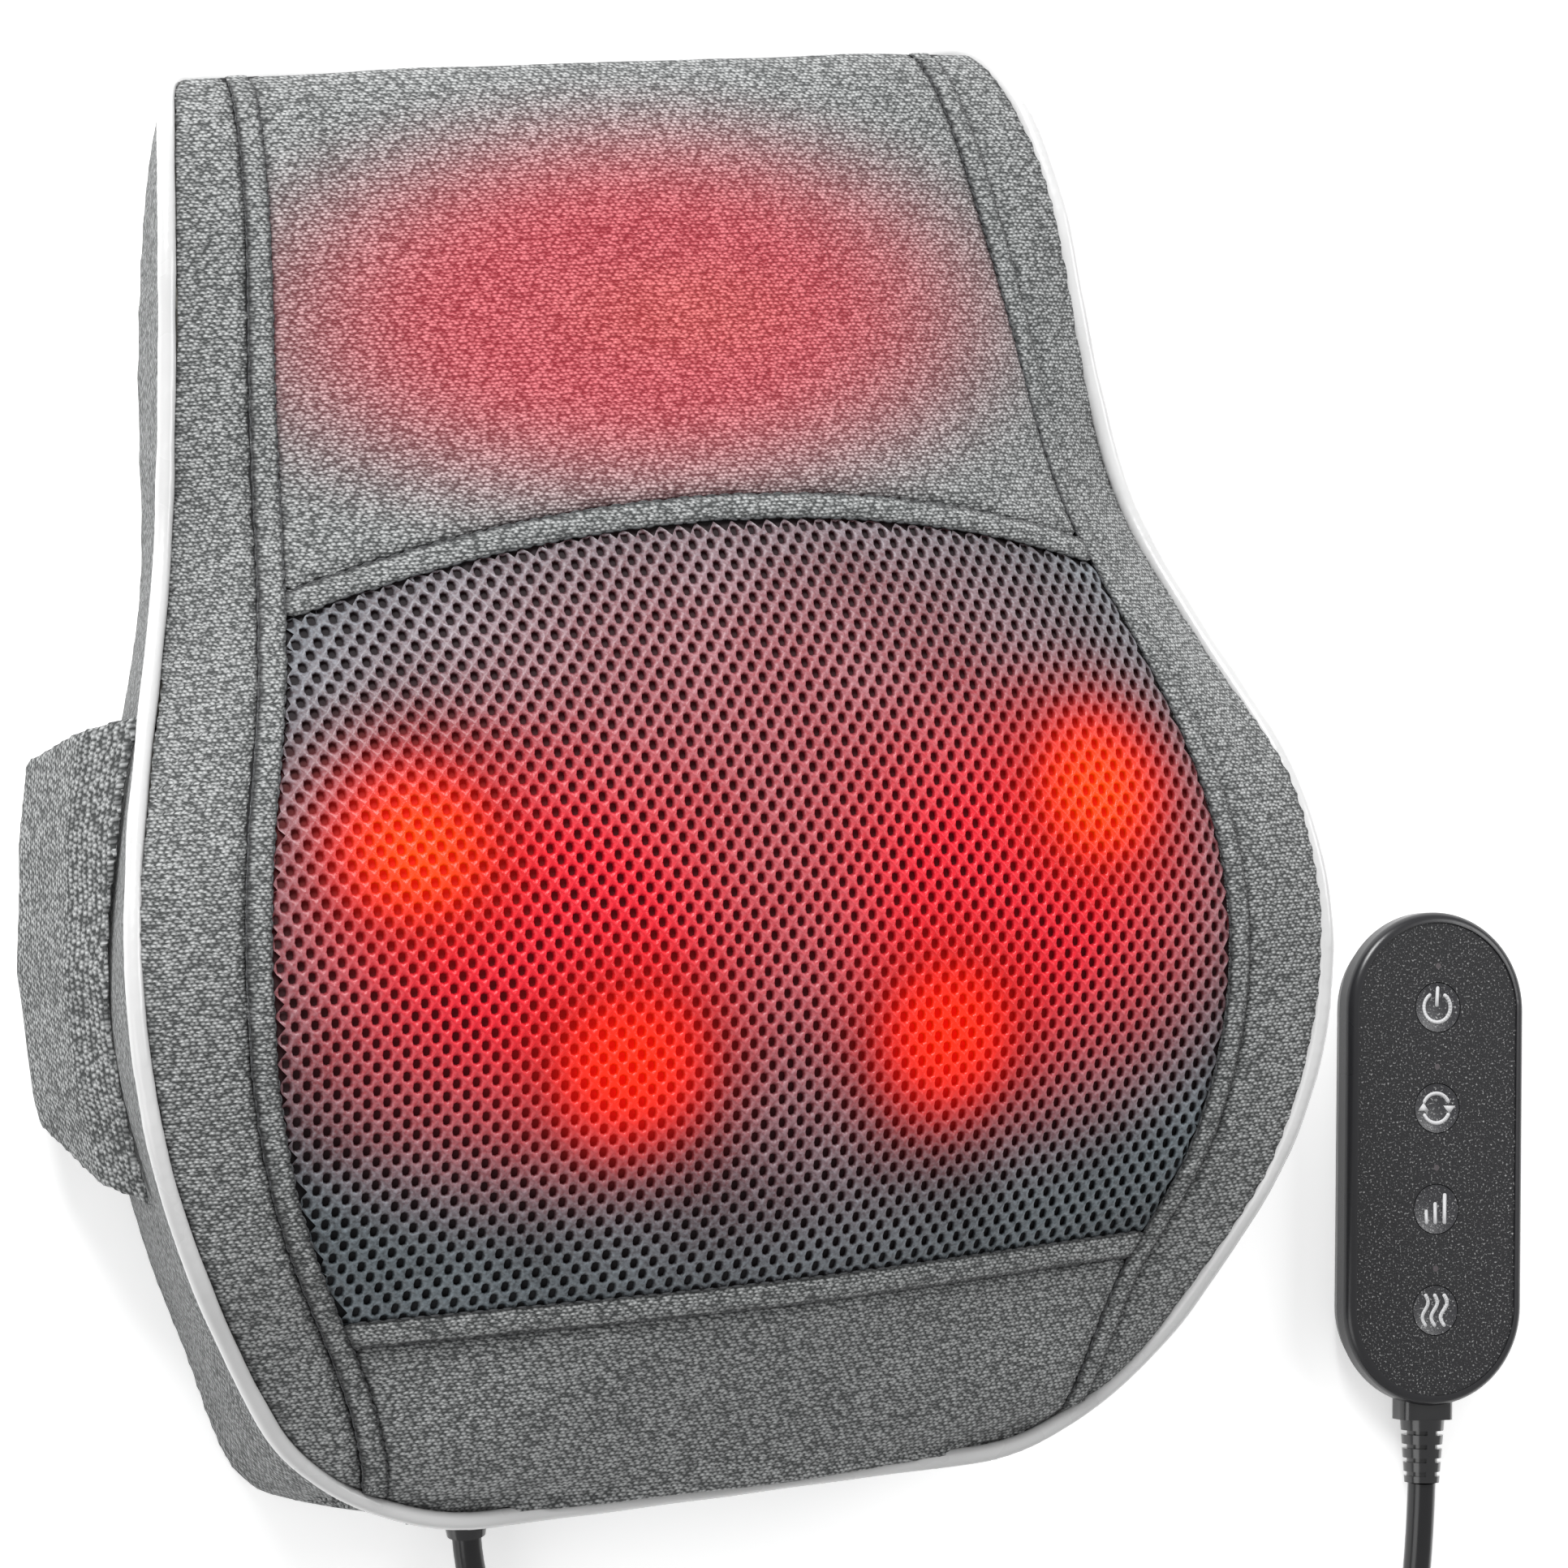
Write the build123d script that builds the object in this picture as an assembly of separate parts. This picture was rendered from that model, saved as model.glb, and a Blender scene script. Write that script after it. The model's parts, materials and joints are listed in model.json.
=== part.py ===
from build123d import *

import os
from math import pi, radians, tan

# Shiatsu neck massager: a bell-shaped pillow lying on its back, with two counter-turning
# massage rotors under a mesh window and a wired handset beside it.
# Millimetres. Origin: centre of the flat back face. +Z out of the front, +Y to the neck end.

# ---------------------------------------------------------------- massage drive
rotor_spacing = 128.0      # between the two output shafts
rotor_y = -30.0            # the shafts' place along the pillow
node_orbit = 36.0          # output shaft to massage node
rotor_angle = -50.0        # each arm at rest, turned outwards from +X
node_radius = 23.0
tall_node = 36.0           # height of the upper node of each rotor
short_node = 33.0          # height of the lower node
node_gap = 1.0             # node's underside above its arm
gear_module = 1.5
wheel_teeth = 72
wheel_face = 8.0
tooth_share = 0.40         # tooth thickness as a share of the pitch, the rest is backlash
tooth_height = 1.2         # above and below the pitch line, before the root clearance
root_clearance = 0.6
flank_angle = 20.0
worm_length = 31.0
worm_axis_z = 24.5
output_shaft_radius = 5.0
drive_shaft_radius = 3.0
pin_radius = 4.0
running_clearance = 0.05
bush_wall = 2.5
motor_radius = 18.0
motor_length = 56.0
motor_y = 12.0             # face of the motor towards the worm

# ---------------------------------------------------------------- rigid casing
casing_wall = 2.5
casing_clearance = 2.5     # from the worm wheels to the casing's wall
casing_height = 46.5       # top of the back shell
cover_plate_z = 36.0       # underside of the gear cover
arm_z = 52.5               # underside of the rotor arms
arm_thickness = 6.5
arm_width = 24.0
pin_head = 1.3
screw_radius = 1.5
screw_head_radius = 2.8
screw_head = 1.8
screw_length = 5.5
clamp_steel = 1.6

# ---------------------------------------------------------------- foam and cover
side_foam = 26.0           # beside the rotors' sweep
bottom_foam = 77.0         # below the rotors' sweep
neck_length = 223.0        # from the output shafts to the neck end
sweep_clearance = 3.0      # from the massage nodes' sweep to the foam
crown_clearance = 15.0     # from the tall node to the top of the mesh
skin = 3.0                 # front panels
cloth = 2.5                # gusset and back
piping_radius = 2.3
welt_width = 6.0
band_width = 6.5
mesh_low_y = -114.3
mesh_apex_y = 70.5
mesh_shoulder_y = 52.5
film_thickness = 0.8
bottom_lean = 9.0          # how far the bottom wall leans in towards the back

# ---------------------------------------------------------------- strap
strap_top_y = 36.0
strap_low_y = -85.0
strap_back_top_y = 22.0
strap_back_low_y = -50.0
strap_seam_z = 50.0
strap_bulge = 17.0         # how far the wing stands out from the gusset
strap_cloth = 2.0
elastic_thickness = 1.6

# ---------------------------------------------------------------- zip, inlet and gland
zip_z = 29.0
zip_half_length = 84.0
zip_tape_width = 11.0
zip_tape = 1.0
slider_length = 10.0
pull_length = 16.0
service_z = 13.0           # height of the power inlet and the cord's gland
inlet_x = -36.0
gland_x = -62.0
inlet_radius = 5.6
inlet_bore_radius = 2.9
gland_nose = 9.0

# ---------------------------------------------------------------- handset
handset_place = (217.6, -109.5)
handset_turn = -6.0
handset_width = 53.0
handset_length = 133.0
handset_height = 14.5
handset_wall = 2.2
handset_split = 8.0        # height where the two halves of the case meet
case_taper = 22.0          # degrees that the back half leans in towards the floor
bezel_width = 2.75
faceplate = 1.6
button_radius = 6.6
button_pitch = 27.2
button_travel = 0.8
button_names = ["power", "direction", "intensity", "heat"]
lamp_offset = 11.2         # indicator above its button
lamp_radius = 0.8
relief_length = 17.0
relief_collar = 4.0
relief_z = 7.0

# ---------------------------------------------------------------- cord
cord_diameter = 7.5
tie_thickness = 1.2
tie_width = 14.0
coil_centre = (140.0, -275.0)
coil_turn_radii = (37.25, 44.75)
# The cord's route, chosen point by point: handset to coil, then coil to gland.
lead_route = [
    (208.45, -196.52, 7.0),
    (207.0, -218.0, 4.4),
    (201.5, -240.0, 3.9),
    (187.6, -258.0, 4.6),
    (184.75, -275.0, 4.95),
]
tail_route = [
    (95.25, -275.0, 12.45),
    (95.0, -257.0, 10.6),
    (87.0, -237.0, 7.2),
    (66.0, -225.0, 4.6),
    (36.0, -222.0, 3.9),
    (2.0, -224.0, 3.8),
    (-32.0, -220.0, 4.0),
    (-54.0, -206.0, 5.4),
    (-61.5, -188.0, 8.6),
    (-62.0, -176.0, 11.0),
]

# ---------------------------------------------------------------- worked out from the above
rotor_x = rotor_spacing / 2
reach = node_orbit + node_radius
wheel_radius = gear_module * wheel_teeth / 2
wheel_tip = wheel_radius + tooth_height
worm_radius = rotor_x - wheel_radius
worm_core = worm_radius - tooth_height - root_clearance
tooth_pitch = pi * gear_module
casing_half = rotor_x + wheel_tip + casing_clearance + casing_wall
node_z = arm_z + arm_thickness + node_gap
crown = node_z + tall_node + crown_clearance + skin
half_width = rotor_x + reach + sweep_clearance + side_foam + cloth
bottom_y = rotor_y - reach - sweep_clearance - bottom_foam
neck_y = rotor_y + neck_length
sweep_low_y = rotor_y - reach - sweep_clearance
sweep_high_y = rotor_y + reach + sweep_clearance
casing_low_y = rotor_y - wheel_tip - casing_clearance - casing_wall
casing_bend_y = motor_y
casing_top_y = motor_y + motor_length + 6.0
casing_neck_half = motor_radius + 52.0
front_shell_top = casing_height + casing_wall
cord_radius = cord_diameter / 2
clamp_foot_z = worm_axis_z - 5.0

# Sections of the pillow from the bottom to the neck end. Each row: place along the length,
# half width and height of the piped edge, half width and height of the seam,
# height of the crown, half width of the back. Shares of the length, half width and crown.
sections = [
    (0.000, 0.492, 0.351, 0.324, 0.386, 0.404, 0.621),
    (0.025, 0.641, 0.346, 0.505, 0.404, 0.456, 0.725),
    (0.066, 0.757, 0.404, 0.644, 0.465, 0.561, 0.793),
    (0.122, 0.835, 0.526, 0.689, 0.550, 0.719, 0.828),
    (0.191, 0.916, 0.671, 0.764, 0.684, 0.868, 0.874),
    (0.273, 0.977, 0.750, 0.819, 0.785, 0.961, 0.913),
    (0.370, 1.000, 0.781, 0.835, 0.846, 1.000, 0.935),
    (0.467, 0.971, 0.719, 0.809, 0.816, 0.996, 0.900),
    (0.564, 0.896, 0.535, 0.751, 0.700, 0.939, 0.845),
    (0.660, 0.825, 0.390, 0.702, 0.535, 0.789, 0.796),
    (0.771, 0.790, 0.360, 0.673, 0.450, 0.623, 0.773),
    (0.881, 0.767, 0.356, 0.644, 0.390, 0.509, 0.748),
    (0.959, 0.738, 0.272, 0.625, 0.298, 0.377, 0.712),
    (1.000, 0.705, 0.145, 0.595, 0.170, 0.215, 0.673),
]


def section_sizes():
    """Turn the sections' shares into millimetres."""
    length = neck_y - bottom_y
    rows = []
    for place, edge_x, edge_z, seam_x, seam_z, top_z, back_x in sections:
        rows.append((
            bottom_y + place * length,
            edge_x * half_width,
            edge_z * crown,
            seam_x * half_width,
            seam_z * crown,
            top_z * crown,
            back_x * half_width,
        ))
    return rows


def save(shape, name):
    """Write one node and report its size."""
    export_step(shape, f"parts/{name}.step")


def mirrored(shape):
    """The same piece on the other side of the pillow."""
    return mirror(shape, about=Plane.YZ)


def prism(outline, low=-20.0, high=200.0):
    """Stand an outline drawn in XY up as a prism."""
    return extrude(Plane.XY.offset(low) * outline, amount=high - low)


def ring(outer, inner, low, high):
    """A plain tube about Z."""
    return Pos(0, 0, low) * extrude(Circle(outer) - Circle(inner), amount=high - low)


def rod(radius, low, high):
    """A plain cylinder about Z."""
    return Pos(0, 0, low) * extrude(Circle(radius), amount=high - low)


def along_y(radius, low, high):
    """A plain cylinder about Y."""
    return Pos(0, high, 0) * extrude(Plane.XZ * Circle(radius), amount=high - low)


def smooth_path(points, close=False):
    """Straight runs joined by tangent arcs, each as large as its two runs allow."""
    count = len(points)
    corners = range(count) if close else range(1, count - 1)
    radii = []
    for i in corners:
        before = Vector(*points[i]) - Vector(*points[i - 1])
        after = Vector(*points[(i + 1) % count]) - Vector(*points[i])
        turn = radians(before.get_angle(after))
        radii.append(0.45 * min(before.length, after.length) / tan(turn / 2))
    return FilletPolyline(*points, radius=radii, close=close), radii


def tube(points, radius, close=False):
    """A round tube along a smooth path."""
    path, radii = smooth_path(points, close)
    start = Plane(origin=path @ 0, z_dir=path % 0)
    return sweep(start * Circle(radius), path=path), path.length, radii


# ---------------------------------------------------------------- cover
def section_face(y, edge_x, edge_z, seam_x, seam_z, top_z, back_x):
    """One cross section of the pillow, seen along Y."""
    base = Line((-back_x, 0), (back_x, 0))
    right = Line((back_x, 0), (edge_x, edge_z))
    top = Spline((edge_x, edge_z), (seam_x, seam_z), (0, top_z), (-seam_x, seam_z), (-edge_x, edge_z))
    left = Line((-edge_x, edge_z), (-back_x, 0))
    outline = make_face([base, right, top, left])
    return Plane(origin=(0, y, 0), x_dir=(1, 0, 0), z_dir=(0, -1, 0)) * outline


def inner_face(y, edge_x, edge_z, back_x):
    """One cross section of the space inside the gusset."""
    points = [
        (-back_x, -1.0),
        (back_x, -1.0),
        (edge_x, edge_z),
        (edge_x, crown + 20),
        (-edge_x, crown + 20),
        (-edge_x, edge_z),
    ]
    outline = make_face(Polyline(*points, close=True))
    return Plane(origin=(0, y, 0), x_dir=(1, 0, 0), z_dir=(0, -1, 0)) * outline


def leaning_cut(inset):
    """What lies outside the bottom wall, which leans in towards the back."""
    edge_z = sections[0][2] * crown
    low = (bottom_y + bottom_lean + inset, 0)
    lean = bottom_lean / edge_z
    high_z = crown + 40
    outline = make_face(Polyline(
        (low[0] + 20 * lean, -20),
        (low[0] - high_z * lean, high_z),
        (low[0] - 200, high_z),
        (low[0] - 200, -20),
        close=True,
    ))
    return extrude(Plane.YZ * outline, amount=2 * half_width, both=True)


def pillow_body():
    """The pillow's outer shape as one solid."""
    rows = section_sizes()
    return loft([section_face(*row) for row in rows]) - leaning_cut(0)


def pillow_inside():
    """The space inside the gusset, running out past the front and the back."""
    rows = section_sizes()
    faces = []
    for i, (y, edge_x, edge_z, _, _, _, back_x) in enumerate(rows):
        if i == 0:
            y += cloth
        if i == len(rows) - 1:
            y -= cloth
        faces.append(inner_face(y, edge_x - cloth, edge_z, back_x - cloth))
    return loft(faces) - leaning_cut(cloth)


def seam_points(inset):
    """Where a side seam runs over the front, on the right."""
    rows = section_sizes()
    points = [(rows[2][3] - 4.5, bottom_y - 8)]
    points += [(row[3], row[0]) for row in rows[2:13]]
    points.append((rows[12][3] - 2.5, neck_y + 6))
    return [(x - inset, y) for x, y in points]


def between_seams(inset):
    """The part of the front between the two side seams."""
    right = Spline(*seam_points(inset))
    left = mirror(right, about=Plane.YZ)
    low = Line(right @ 0, left @ 0)
    high = Line(right @ 1, left @ 1)
    return make_face([right, high, left, low])


def arch(rise):
    """Everything below an arch across the front."""
    reach = half_width
    span = section_sizes()[8][3] - welt_width
    drop = mesh_apex_y - mesh_shoulder_y
    end_y = mesh_apex_y - drop * (reach / span) ** 2 + rise
    curve = ThreePointArc((-reach, end_y), (0, mesh_apex_y + rise), (reach, end_y))
    box = Polyline((reach, end_y), (reach, bottom_y - 30), (-reach, bottom_y - 30), (-reach, end_y))
    return make_face([curve, box])


def below(y):
    """Everything below a straight line across the front."""
    height = y - bottom_y + 30
    return Pos(0, y - height / 2) * Rectangle(2 * half_width, height)


def front_outline():
    """The front panels' outline inside the piping."""
    points = [(row[1], row[0]) for row in section_sizes()]
    left = [(-x, y) for x, y in reversed(points)]
    return make_face(Polyline(*points, *left, close=True))


def piping_points():
    """The corners of the piping's route, all round the front edge."""
    rows = section_sizes()
    right = [(row[1], row[0], row[2]) for row in rows]
    right.append((rows[-1][6] - 6.0, neck_y + 1.0, 4.0))
    left = [(-x, y, z) for x, y, z in reversed(right)]
    return right + left


def front_panels(front):
    """Cut the front skin along its seams into the separate sewn panels."""
    middle = prism(between_seams(welt_width))
    welts = prism(between_seams(0)) - middle
    outer = front & prism(front_outline())
    border = outer - prism(between_seams(0))
    right_side = prism(Pos(half_width, 0) * Rectangle(2 * half_width, 4 * half_width))
    centre = outer & middle
    pieces = {
        "border_panel_right": border & right_side,
        "welt_right": outer & welts & right_side,
        "top_panel": centre - prism(arch(band_width)),
        "arch_band": (centre & prism(arch(band_width))) - prism(arch(0)),
        "mesh_panel": (centre & prism(arch(0))) - prism(below(mesh_low_y)),
        "lower_band": (centre & prism(below(mesh_low_y))) - prism(below(mesh_low_y - band_width)),
        "bottom_panel": centre & prism(below(mesh_low_y - band_width)),
    }
    pieces["border_panel_left"] = mirrored(pieces["border_panel_right"])
    pieces["welt_left"] = mirrored(pieces["welt_right"])
    return pieces


def make_cover():
    """The sewn cover: front panels, piping, gusset and back. Returns the pieces and the filling."""
    body = pillow_body()
    inside = pillow_inside()
    under_skin = body & body.moved(Location((0, 0, -skin)))
    pieces = front_panels(body - under_skin)
    piping, _, _ = tube(piping_points(), piping_radius, close=True)
    walls = (body - inside) - prism(front_outline(), low=1.0)
    walls += (under_skin - inside)
    pieces["gusset"] = walls
    slab = Pos(0, 0, cloth / 2) * Box(3 * half_width, 3 * half_width, cloth)
    pieces["back_panel"] = under_skin & inside & slab
    for name in ["border_panel_left", "border_panel_right", "welt_left", "welt_right", "top_panel",
                 "bottom_panel", "gusset", "back_panel"]:
        pieces[name] = largest(pieces[name] - piping)
    pieces["piping"] = piping
    filling = (under_skin & inside) - slab - piping
    return pieces, filling


def largest(shape):
    """Drop loose slivers that a cut has left."""
    return Part() + max(shape.solids(), key=lambda solid: solid.volume)


# ---------------------------------------------------------------- casing
def casing_outline(grow):
    """Plan of the rigid casing: wide around the worm wheels, narrow beside the motor."""
    half = casing_half + grow
    points = [
        (-half, casing_low_y - grow),
        (half, casing_low_y - grow),
        (half, casing_bend_y),
        (casing_neck_half + grow, casing_top_y + grow),
        (-casing_neck_half - grow, casing_top_y + grow),
        (-half, casing_bend_y),
    ]
    outline = make_face(Polyline(*points, close=True))
    return fillet(outline.vertices(), radius=14.0 + grow)


def post_places():
    """Where the casing's screw posts stand, clear of the worm wheels."""
    low_y = casing_low_y + 9.5
    side = casing_half - 12.5
    return [(-side, low_y), (side, low_y), (0, low_y), (-side - 3, motor_y - 8), (side + 3, motor_y - 8)]


def make_back_shell():
    """The tray that holds the drive: floor, wall, bearing bosses and screw posts."""
    floor_z = cloth
    floor_top = floor_z + casing_wall
    outer = prism(casing_outline(0), floor_z, casing_height)
    shell = outer - prism(casing_outline(-casing_wall), floor_top, casing_height + 1)
    for side in (-1, 1):
        place = Pos(side * rotor_x, rotor_y)
        shell += place * rod(output_shaft_radius + bush_wall + 2.5, floor_top, floor_top + 9)
        shell -= place * rod(output_shaft_radius + bush_wall, floor_top, floor_top + 10)
    for x, y in post_places():
        shell += Pos(x, y) * rod(3.5, floor_top, cover_plate_z)
        shell -= Pos(x, y) * rod(screw_radius, cover_plate_z - 12, cover_plate_z + 1)
    bearing_y = rotor_y - worm_length / 2 - 10
    block = Pos(0, bearing_y, (floor_top + worm_axis_z + 7) / 2)
    shell += block * Box(16, 8, worm_axis_z + 7 - floor_top)
    shell -= Pos(0, 0, worm_axis_z) * along_y(drive_shaft_radius + running_clearance, bearing_y - 6, bearing_y + 6)
    for y in (motor_y + 10, motor_y + motor_length - 12):
        cradle = Pos(0, y, (floor_top + worm_axis_z - 4) / 2)
        shell += cradle * Box(2 * motor_radius + 12, 6, worm_axis_z - 4 - floor_top)
    clamp_y = motor_y + motor_length / 2
    bridge = Pos(0, clamp_y, (floor_top + clamp_foot_z) / 2)
    shell += bridge * Box(2 * motor_radius + 22, 9, clamp_foot_z - floor_top)
    shell -= Pos(0, 0, worm_axis_z) * along_y(motor_radius, motor_y - 1, motor_y + motor_length + 1)
    for x, y in clamp_places():
        shell -= Pos(x, y) * rod(screw_radius, clamp_foot_z - 8, clamp_foot_z + 1)
    return shell


def make_front_shell():
    """The lid over the drive, with two holes for the rotors' hubs."""
    lid = prism(casing_outline(0), casing_height, front_shell_top)
    for side in (-1, 1):
        lid -= Pos(side * rotor_x, rotor_y) * rod(13.0, casing_height - 1, front_shell_top + 1)
    for x, y in lid_screw_places():
        lid -= Pos(x, y) * rod(screw_radius + 0.2, casing_height - 1, front_shell_top + 1)
    return lid


def lid_screw_places():
    """Screws through the lid into the bearing plate's posts."""
    low_y = casing_low_y + 9.5
    return [(-casing_half + 12.5, low_y), (casing_half - 12.5, low_y), (0, low_y)]


def make_gear_cover():
    """The bearing plate over the worm wheels, with short posts up to the lid."""
    high_y = motor_y - 3
    cover = prism(casing_outline(-casing_wall - 1.0), cover_plate_z, cover_plate_z + casing_wall)
    cover &= prism(below(high_y))
    for side in (-1, 1):
        place = Pos(side * rotor_x, rotor_y)
        cover += place * rod(output_shaft_radius + bush_wall + 2.5, cover_plate_z, cover_plate_z + 9)
        cover -= place * rod(output_shaft_radius + bush_wall, cover_plate_z - 1, cover_plate_z + 10)
    for x, y in lid_screw_places():
        cover += Pos(x, y + 8) * rod(3.5, cover_plate_z, casing_height)
    for x, y in post_places():
        cover -= Pos(x, y) * rod(screw_radius + 0.2, cover_plate_z - 1, cover_plate_z + 10)
    return cover


def make_screw(length):
    """A pan-head screw, head up, with its thread's outside as a plain shank."""
    screw = rod(screw_radius, -length, 0) + rod(screw_head_radius, 0, screw_head)
    slot = Pos(0, 0, screw_head) * Box(2 * screw_head_radius + 1, 0.8, 1.2)
    return screw - slot


def clamp_places():
    """The motor clamp's two screws."""
    y = motor_y + motor_length / 2
    return [(side * (motor_radius + 6.5), y) for side in (-1, 1)]


def make_case_screws():
    """The identical screws of the gear cover, the motor clamp and the handset."""
    screw = make_screw(screw_length)
    screws = [Pos(x, y, cover_plate_z + casing_wall) * screw for x, y in post_places()]
    screws += [Pos(x, y, clamp_foot_z + clamp_steel) * screw for x, y in clamp_places()]
    upward = Pos(0, 0, handset_wall) * Rot(180, 0, 0) * screw
    screws += [handset_frame() * Pos(0, y) * upward for y in handset_posts()]
    return Part() + screws


def make_bushes():
    """Two flanged bearings on each output shaft."""
    inner = output_shaft_radius + running_clearance
    outer = output_shaft_radius + bush_wall
    low = cloth + casing_wall
    bushes = []
    for side in (-1, 1):
        place = Pos(side * rotor_x, rotor_y)
        bushes.append(place * ring(outer, inner, low + 0.5, low + 9))
        bushes.append(place * ring(outer, inner, cover_plate_z, cover_plate_z + 9))
    return Part() + bushes


# ---------------------------------------------------------------- drive train
def tooth_outline(thickness, root, tip, flank):
    """A straight-sided tooth: root and tip are depths below and above the pitch line."""
    lean = tan(radians(flank))
    low = thickness / 2 + root * lean
    high = thickness / 2 - tip * lean
    return [(-root, -low), (tip, -high), (tip, high), (-root, low)]


def make_worm_wheel(tooth_at):
    """One worm wheel about Z at the origin, with a tooth centred at the angle tooth_at."""
    thickness = tooth_share * tooth_pitch
    root = wheel_radius - tooth_height - root_clearance
    points = tooth_outline(thickness, tooth_height + root_clearance + 0.4, tooth_height, flank_angle)
    tooth = make_face(Polyline(*[(wheel_radius + u, v) for u, v in points], close=True))
    disc = Circle(root)
    step = 360.0 / wheel_teeth
    teeth = [Rot(0, 0, tooth_at + i * step) * tooth for i in range(wheel_teeth)]
    low = worm_axis_z - wheel_face / 2
    wheel = Pos(0, 0, low) * extrude(disc + teeth, amount=wheel_face)
    wheel += rod(output_shaft_radius + 5, cloth + casing_wall + 9.5, cover_plate_z - 0.5)
    web = ring(root - 7, output_shaft_radius + 9, low + 5, low + wheel_face + 1)
    wheel -= web
    return wheel - rod(output_shaft_radius, 0, cover_plate_z)


def make_worm():
    """The single-start worm with its shaft, about Y, with a thread crest on +X at rotor_y."""
    lead = tooth_pitch
    turns = round(worm_length / lead)
    height = turns * lead
    thickness = tooth_share * tooth_pitch * 0.9
    sunk = 0.5
    points = tooth_outline(thickness, tooth_height + root_clearance + sunk, tooth_height, flank_angle)
    helix = Helix(pitch=lead, height=height, radius=worm_radius)
    start = helix @ 0
    face = make_face(Polyline(*[(start.X + u, 0, v) for u, v in points], close=True))
    thread = sweep(face, path=helix, is_frenet=True)
    low, high = -height / 2 - lead, height / 2 + lead
    core = rod(worm_core, low, high)
    worm = core + thread.moved(Location((0, 0, -height / 2)))
    if turns % 2:
        worm = Rot(0, 0, 180) * worm
    standing = Rot(-90, 0, 0) * worm
    shaft = along_y(drive_shaft_radius, rotor_y - worm_length / 2 - 14, motor_y + motor_length - 8)
    return Pos(0, 0, worm_axis_z) * ((Pos(0, rotor_y, 0) * standing) + shaft)


def make_output_shaft():
    """One rotor's output shaft about Z."""
    return rod(output_shaft_radius, cloth + casing_wall + 1, arm_z + arm_thickness)


def make_rotor_arm():
    """The arm along X that carries two massage nodes."""
    bar = Box(2 * node_orbit, arm_width - 6, arm_thickness)
    arm = Pos(0, 0, arm_z + arm_thickness / 2) * bar
    arm += rod(14.0, arm_z, arm_z + arm_thickness)
    for side in (-1, 1):
        arm += Pos(side * node_orbit, 0) * rod(arm_width / 2, arm_z, arm_z + arm_thickness)
    for side in (-1, 1):
        arm -= Pos(side * node_orbit, 0) * rod(pin_radius, arm_z - 1, arm_z + arm_thickness + 1)
    return arm - rod(output_shaft_radius, arm_z - 1, arm_z + arm_thickness + 1)


def make_node_pins():
    """Two headed steel pins that the massage nodes turn on."""
    pin = rod(pin_radius, arm_z, node_z + 24) + rod(pin_radius + 2, arm_z - pin_head, arm_z)
    return Part() + [Pos(side * node_orbit, 0) * pin for side in (-1, 1)]


def make_massage_node(height):
    """One dome-shaped massage node with its blind bore, about Z."""
    lift = height / tall_node
    shoulder = (node_radius, 12.0 * lift)
    cheek = (17.8 / 23 * node_radius, 26.5 * lift)
    brow = (8.0 / 23 * node_radius, 32.8 * lift)
    side = ThreePointArc((node_radius - 6, 0), (node_radius - 1.6, 4.8 * lift), shoulder)
    dome = ThreePointArc(shoulder, cheek, brow)
    tip = ThreePointArc(brow, (0.65 * brow[0], 34.8 * lift), (1.5, height))
    bore = pin_radius + running_clearance
    rest = Polyline((1.5, height), (0, height), (0, 25.0), (bore, 25.0), (bore, 0), (node_radius - 6, 0))
    half = Plane.XZ * make_face([side, dome, tip, rest])
    return Pos(0, 0, node_z) * revolve(half, axis=Axis.Z)


def make_motor():
    """The geared-down direct-current motor's can, bored for its own shaft."""
    can = along_y(motor_radius, motor_y, motor_y + motor_length)
    can = chamfer(can.edges().filter_by(GeomType.CIRCLE), length=1.5)
    can += along_y(6.0, motor_y - 2.5, motor_y)
    can -= along_y(drive_shaft_radius + running_clearance, motor_y - 3, motor_y + motor_length - 7)
    for side in (-1, 1):
        can += Pos(side * 9, 0, 3) * along_y(1.2, motor_y + motor_length, motor_y + motor_length + 3)
    return Pos(0, 0, worm_axis_z) * can


def make_motor_clamp():
    """The steel strap over the motor."""
    width = 12.0
    gap = 0.05
    y = motor_y + motor_length / 2
    foot = clamp_foot_z - worm_axis_z
    strap = along_y(motor_radius + clamp_steel, y - width / 2, y + width / 2)
    strap += Pos(0, y, foot / 2) * Box(2 * (motor_radius + clamp_steel), width, -foot)
    strap -= Pos(0, y, foot - motor_radius) * Box(4 * motor_radius, 2 * width, 2 * motor_radius)
    strap += Pos(0, y, foot + clamp_steel / 2) * Box(2 * motor_radius + 21, width, clamp_steel)
    strap -= along_y(motor_radius + gap, y - width, y + width)
    for x, y in clamp_places():
        strap -= Pos(x, y) * rod(screw_radius + 0.2, foot - 1, foot + clamp_steel + 1)
    return Pos(0, 0, worm_axis_z) * strap


def make_control_board():
    """The circuit board beside the motor, with its tall components."""
    x = motor_radius + 34.0
    y = motor_y + 34.0
    low = cloth + casing_wall + 3.0
    board = Pos(x, y, low + 0.8) * Box(44, 34, 1.6)
    for dx, dy in [(-19, -14), (19, -14), (-19, 14), (19, 14)]:
        board += Pos(x + dx, y + dy) * rod(2.0, low - 3.0, low)
    board += Pos(x - 8, y + 6) * rod(5.0, low + 1.6, low + 13.6)
    board += Pos(x + 6, y + 6, low + 5.6) * Box(14, 12, 8)
    board += Pos(x + 2, y - 11, low + 4.1) * Box(22, 5, 5)
    return board


# ---------------------------------------------------------------- foam and heating
def rotor_space():
    """The space above the casing where the massage nodes go round."""
    half = rotor_x + reach + sweep_clearance
    middle = (sweep_low_y + sweep_high_y) / 2
    return prism(Pos(0, middle) * Rectangle(2 * half, sweep_high_y - sweep_low_y), low=0.0)


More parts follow.
